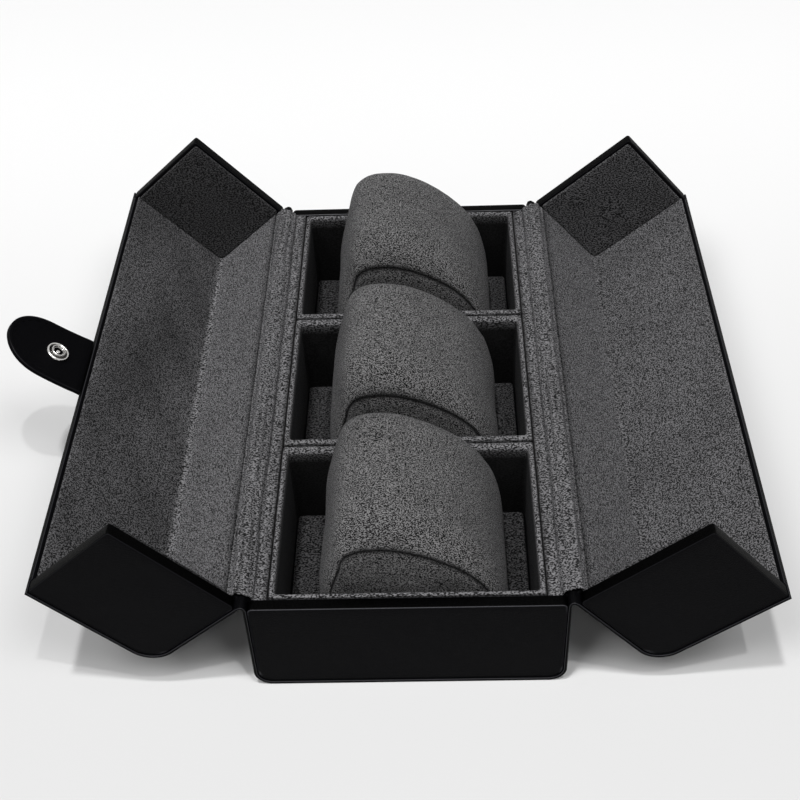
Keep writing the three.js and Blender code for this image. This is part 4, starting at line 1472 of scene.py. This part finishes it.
class WATCHCASE_OT_cushions(PieceOperator):
    """Three stuffed suede cushions with sewn ends"""

    bl_idname = "watchcase.cushions"
    bl_label = "Cushions"

    def build(self, size):
        build_cushions(size)


class WATCHCASE_OT_strap(PieceOperator):
    """Closing strap with its stitches"""

    bl_idname = "watchcase.strap"
    bl_label = "Strap"

    def build(self, size):
        build_strap(LidPlace(LEFT), size)


class WATCHCASE_OT_snap(PieceOperator):
    """Nickel snap on the strap and its stud on the other lid"""

    bl_idname = "watchcase.snap"
    bl_label = "Snap"

    def build(self, size):
        build_snap(LidPlace(LEFT))
        build_stud(LidPlace(RIGHT))


class WATCHCASE_OT_walls(PieceOperator):
    """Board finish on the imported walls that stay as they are"""

    bl_idname = "watchcase.walls"
    bl_label = "Side walls"

    def build(self, size):
        for node in ("tray_left_wall", "tray_right_wall"):
            data = frame["nodes"][node].data
            data.materials.clear()
            data.materials.append(finish_of("grey_board"))


# name, how far it stands across and along the case for each metre of height, height, width, share of the light
LAMPS = (
    ("overhead lamp", -0.1, -0.14, 3.6, 0.2, 0.34),
    ("right lamp", 0.17, -0.26, 3.6, 0.1, 0.13),
    ("soft right lamp", 0.45, -0.4, 3.0, 1.3, 0.21),
    ("soft left lamp", -0.45, -0.4, 3.0, 1.3, 0.28),
    ("front lamp", 0.0, -1.0, 2.6, 0.9, 0.04),
)


class WATCHCASE_OT_stage(bpy.types.Operator):
    """Pale floor, soft lights and the camera"""

    bl_idname = "watchcase.stage"
    bl_label = "Stage"
    bl_options = {"REGISTER", "UNDO"}

    def execute(self, context):
        studio = context.scene.watch_case_studio
        self.make_floor()
        self.make_lights(context.scene, studio)
        self.make_camera(context.scene, studio)
        return {"FINISHED"}

    def make_floor(self):
        """A large flat sheet just under the case, faintly mottled, and paler behind the case than before it: that
        gradient is painted light.
        """
        material, tree, shader = new_material("pale_floor")
        position = position_of(tree)
        along_case = place(tree, "ShaderNodeSeparateXYZ", None, Vector=position).outputs["Y"]
        # painted light: the floor's colour grows paler towards the back of the case
        paler = ranged(tree, along_case, (-0.15, 0.3), (0.71, 0.95))
        shade = scaled(tree, noise(tree, position, 3.0), 0.02, paler)
        tree.links.new(tinted(tree, (1.0, 1.0, 1.0), shade), shader.inputs["Base Color"])
        set_uniform(shader, {"Roughness": 0.6, "Specular IOR Level": 0.2})
        reach, drop = 6000.0, 0.05
        side = np.linspace(-reach, reach, 3)
        x, y = np.meshgrid(side, side, indexing="ij")
        points = np.stack([x, y, np.full(x.shape, -drop)], -1)
        floor = make_piece("floor", points, [quads(np.arange(9).reshape(3, 3))], material)

    def make_lights(self, scene, studio):
        """Dim even surroundings and a fan of lamps above and before the case. A lamp's power is its share of the
        floor's light, times pi, its height squared and the cube of its slant."""
        world = bpy.data.worlds.new("plain surroundings")
        world.use_nodes = True
        backdrop = world.node_tree.nodes["Background"]
        backdrop.inputs["Color"].default_value = (1, 1, 1, 1)
        tree = world.node_tree
        reflected = tree.nodes.new("ShaderNodeLightPath").outputs["Is Glossy Ray"]
        strength = scaled(tree, reflected, studio.reflected_room, studio.room_light)
        tree.links.new(strength, backdrop.inputs["Strength"])
        scene.world = world
        for name, across, towards, height, width, share in LAMPS:
            slant = math.sqrt(1 + across**2 + towards**2)
            data = bpy.data.lights.new(name, "AREA")
            data.shape, data.size = "SQUARE", width
            data.energy = share * studio.floor_light * math.pi * height**2 * slant**3
            light = bpy.data.objects.new(name, data)
            light.location = (across * height, towards * height, height)
            light.rotation_euler = (Vector((0, 0, 0.03)) - light.location).to_track_quat("-Z", "Y").to_euler()
            scene.collection.objects.link(light)
        scene.view_settings.view_transform = "Standard"

    def make_camera(self, scene, studio):
        """The camera stands back from its aim by azimuth and elevation, then rolls about its line of sight."""
        data = bpy.data.cameras.new("camera")
        data.sensor_width, data.lens = 36.0, studio.lens
        data.clip_start, data.clip_end = 0.01, 20.0
        a, e, r = studio.azimuth, studio.elevation, studio.roll
        ahead = Vector((-math.sin(a) * math.cos(e), math.cos(a) * math.cos(e), -math.sin(e)))
        right = Vector((math.cos(a), math.sin(a), 0))
        up = right.cross(ahead)
        rolled = math.cos(r) * right + math.sin(r) * up
        upright = math.cos(r) * up - math.sin(r) * right
        camera = bpy.data.objects.new("camera", data)
        turn = Matrix((rolled, upright, -ahead)).transposed().to_4x4()
        camera.matrix_world = Matrix.Translation(Vector(studio.aim) - ahead * studio.distance) @ turn
        scene.collection.objects.link(camera)
        scene.camera = camera


OPERATORS = (
    WATCHCASE_OT_stage, WATCHCASE_OT_skins, WATCHCASE_OT_end_panels, WATCHCASE_OT_walls, WATCHCASE_OT_compartments,
    WATCHCASE_OT_lid_linings, WATCHCASE_OT_hinge_linings, WATCHCASE_OT_cushions, WATCHCASE_OT_strap,
    WATCHCASE_OT_snap,
)


class WATCHCASE_PT_panel(bpy.types.Panel):
    """The case's sizes, finishes and pieces."""

    bl_label = "Watch case"
    bl_idname = "WATCHCASE_PT_panel"
    bl_space_type = "VIEW_3D"
    bl_region_type = "UI"
    bl_category = "Watch case"

    def draw(self, context):
        for name in PROPERTY_GROUPS:
            group = getattr(context.scene, name)
            column = self.layout.column(align=True)
            for key in group.__annotations__:
                column.prop(group, key)
        for operator in OPERATORS:
            self.layout.operator(operator.bl_idname)


PROPERTY_GROUPS = {
    "watch_case_sizes": WatchCaseSizes,
    "watch_case_finishes": WatchCaseFinishes,
    "watch_case_studio": WatchCaseStudio,
}


def register():
    for cls in (*PROPERTY_GROUPS.values(), *OPERATORS, WATCHCASE_PT_panel):
        bpy.utils.register_class(cls)
    for name, group in PROPERTY_GROUPS.items():
        setattr(bpy.types.Scene, name, bpy.props.PointerProperty(type=group))


def unregister():
    for name in PROPERTY_GROUPS:
        delattr(bpy.types.Scene, name)
    for cls in reversed((*PROPERTY_GROUPS.values(), *OPERATORS, WATCHCASE_PT_panel)):
        bpy.utils.unregister_class(cls)


def main():
    register()
    for operator in OPERATORS:
        getattr(bpy.ops.watchcase, operator.bl_idname.split(".")[1])()


if __name__ == "__main__":
    main()
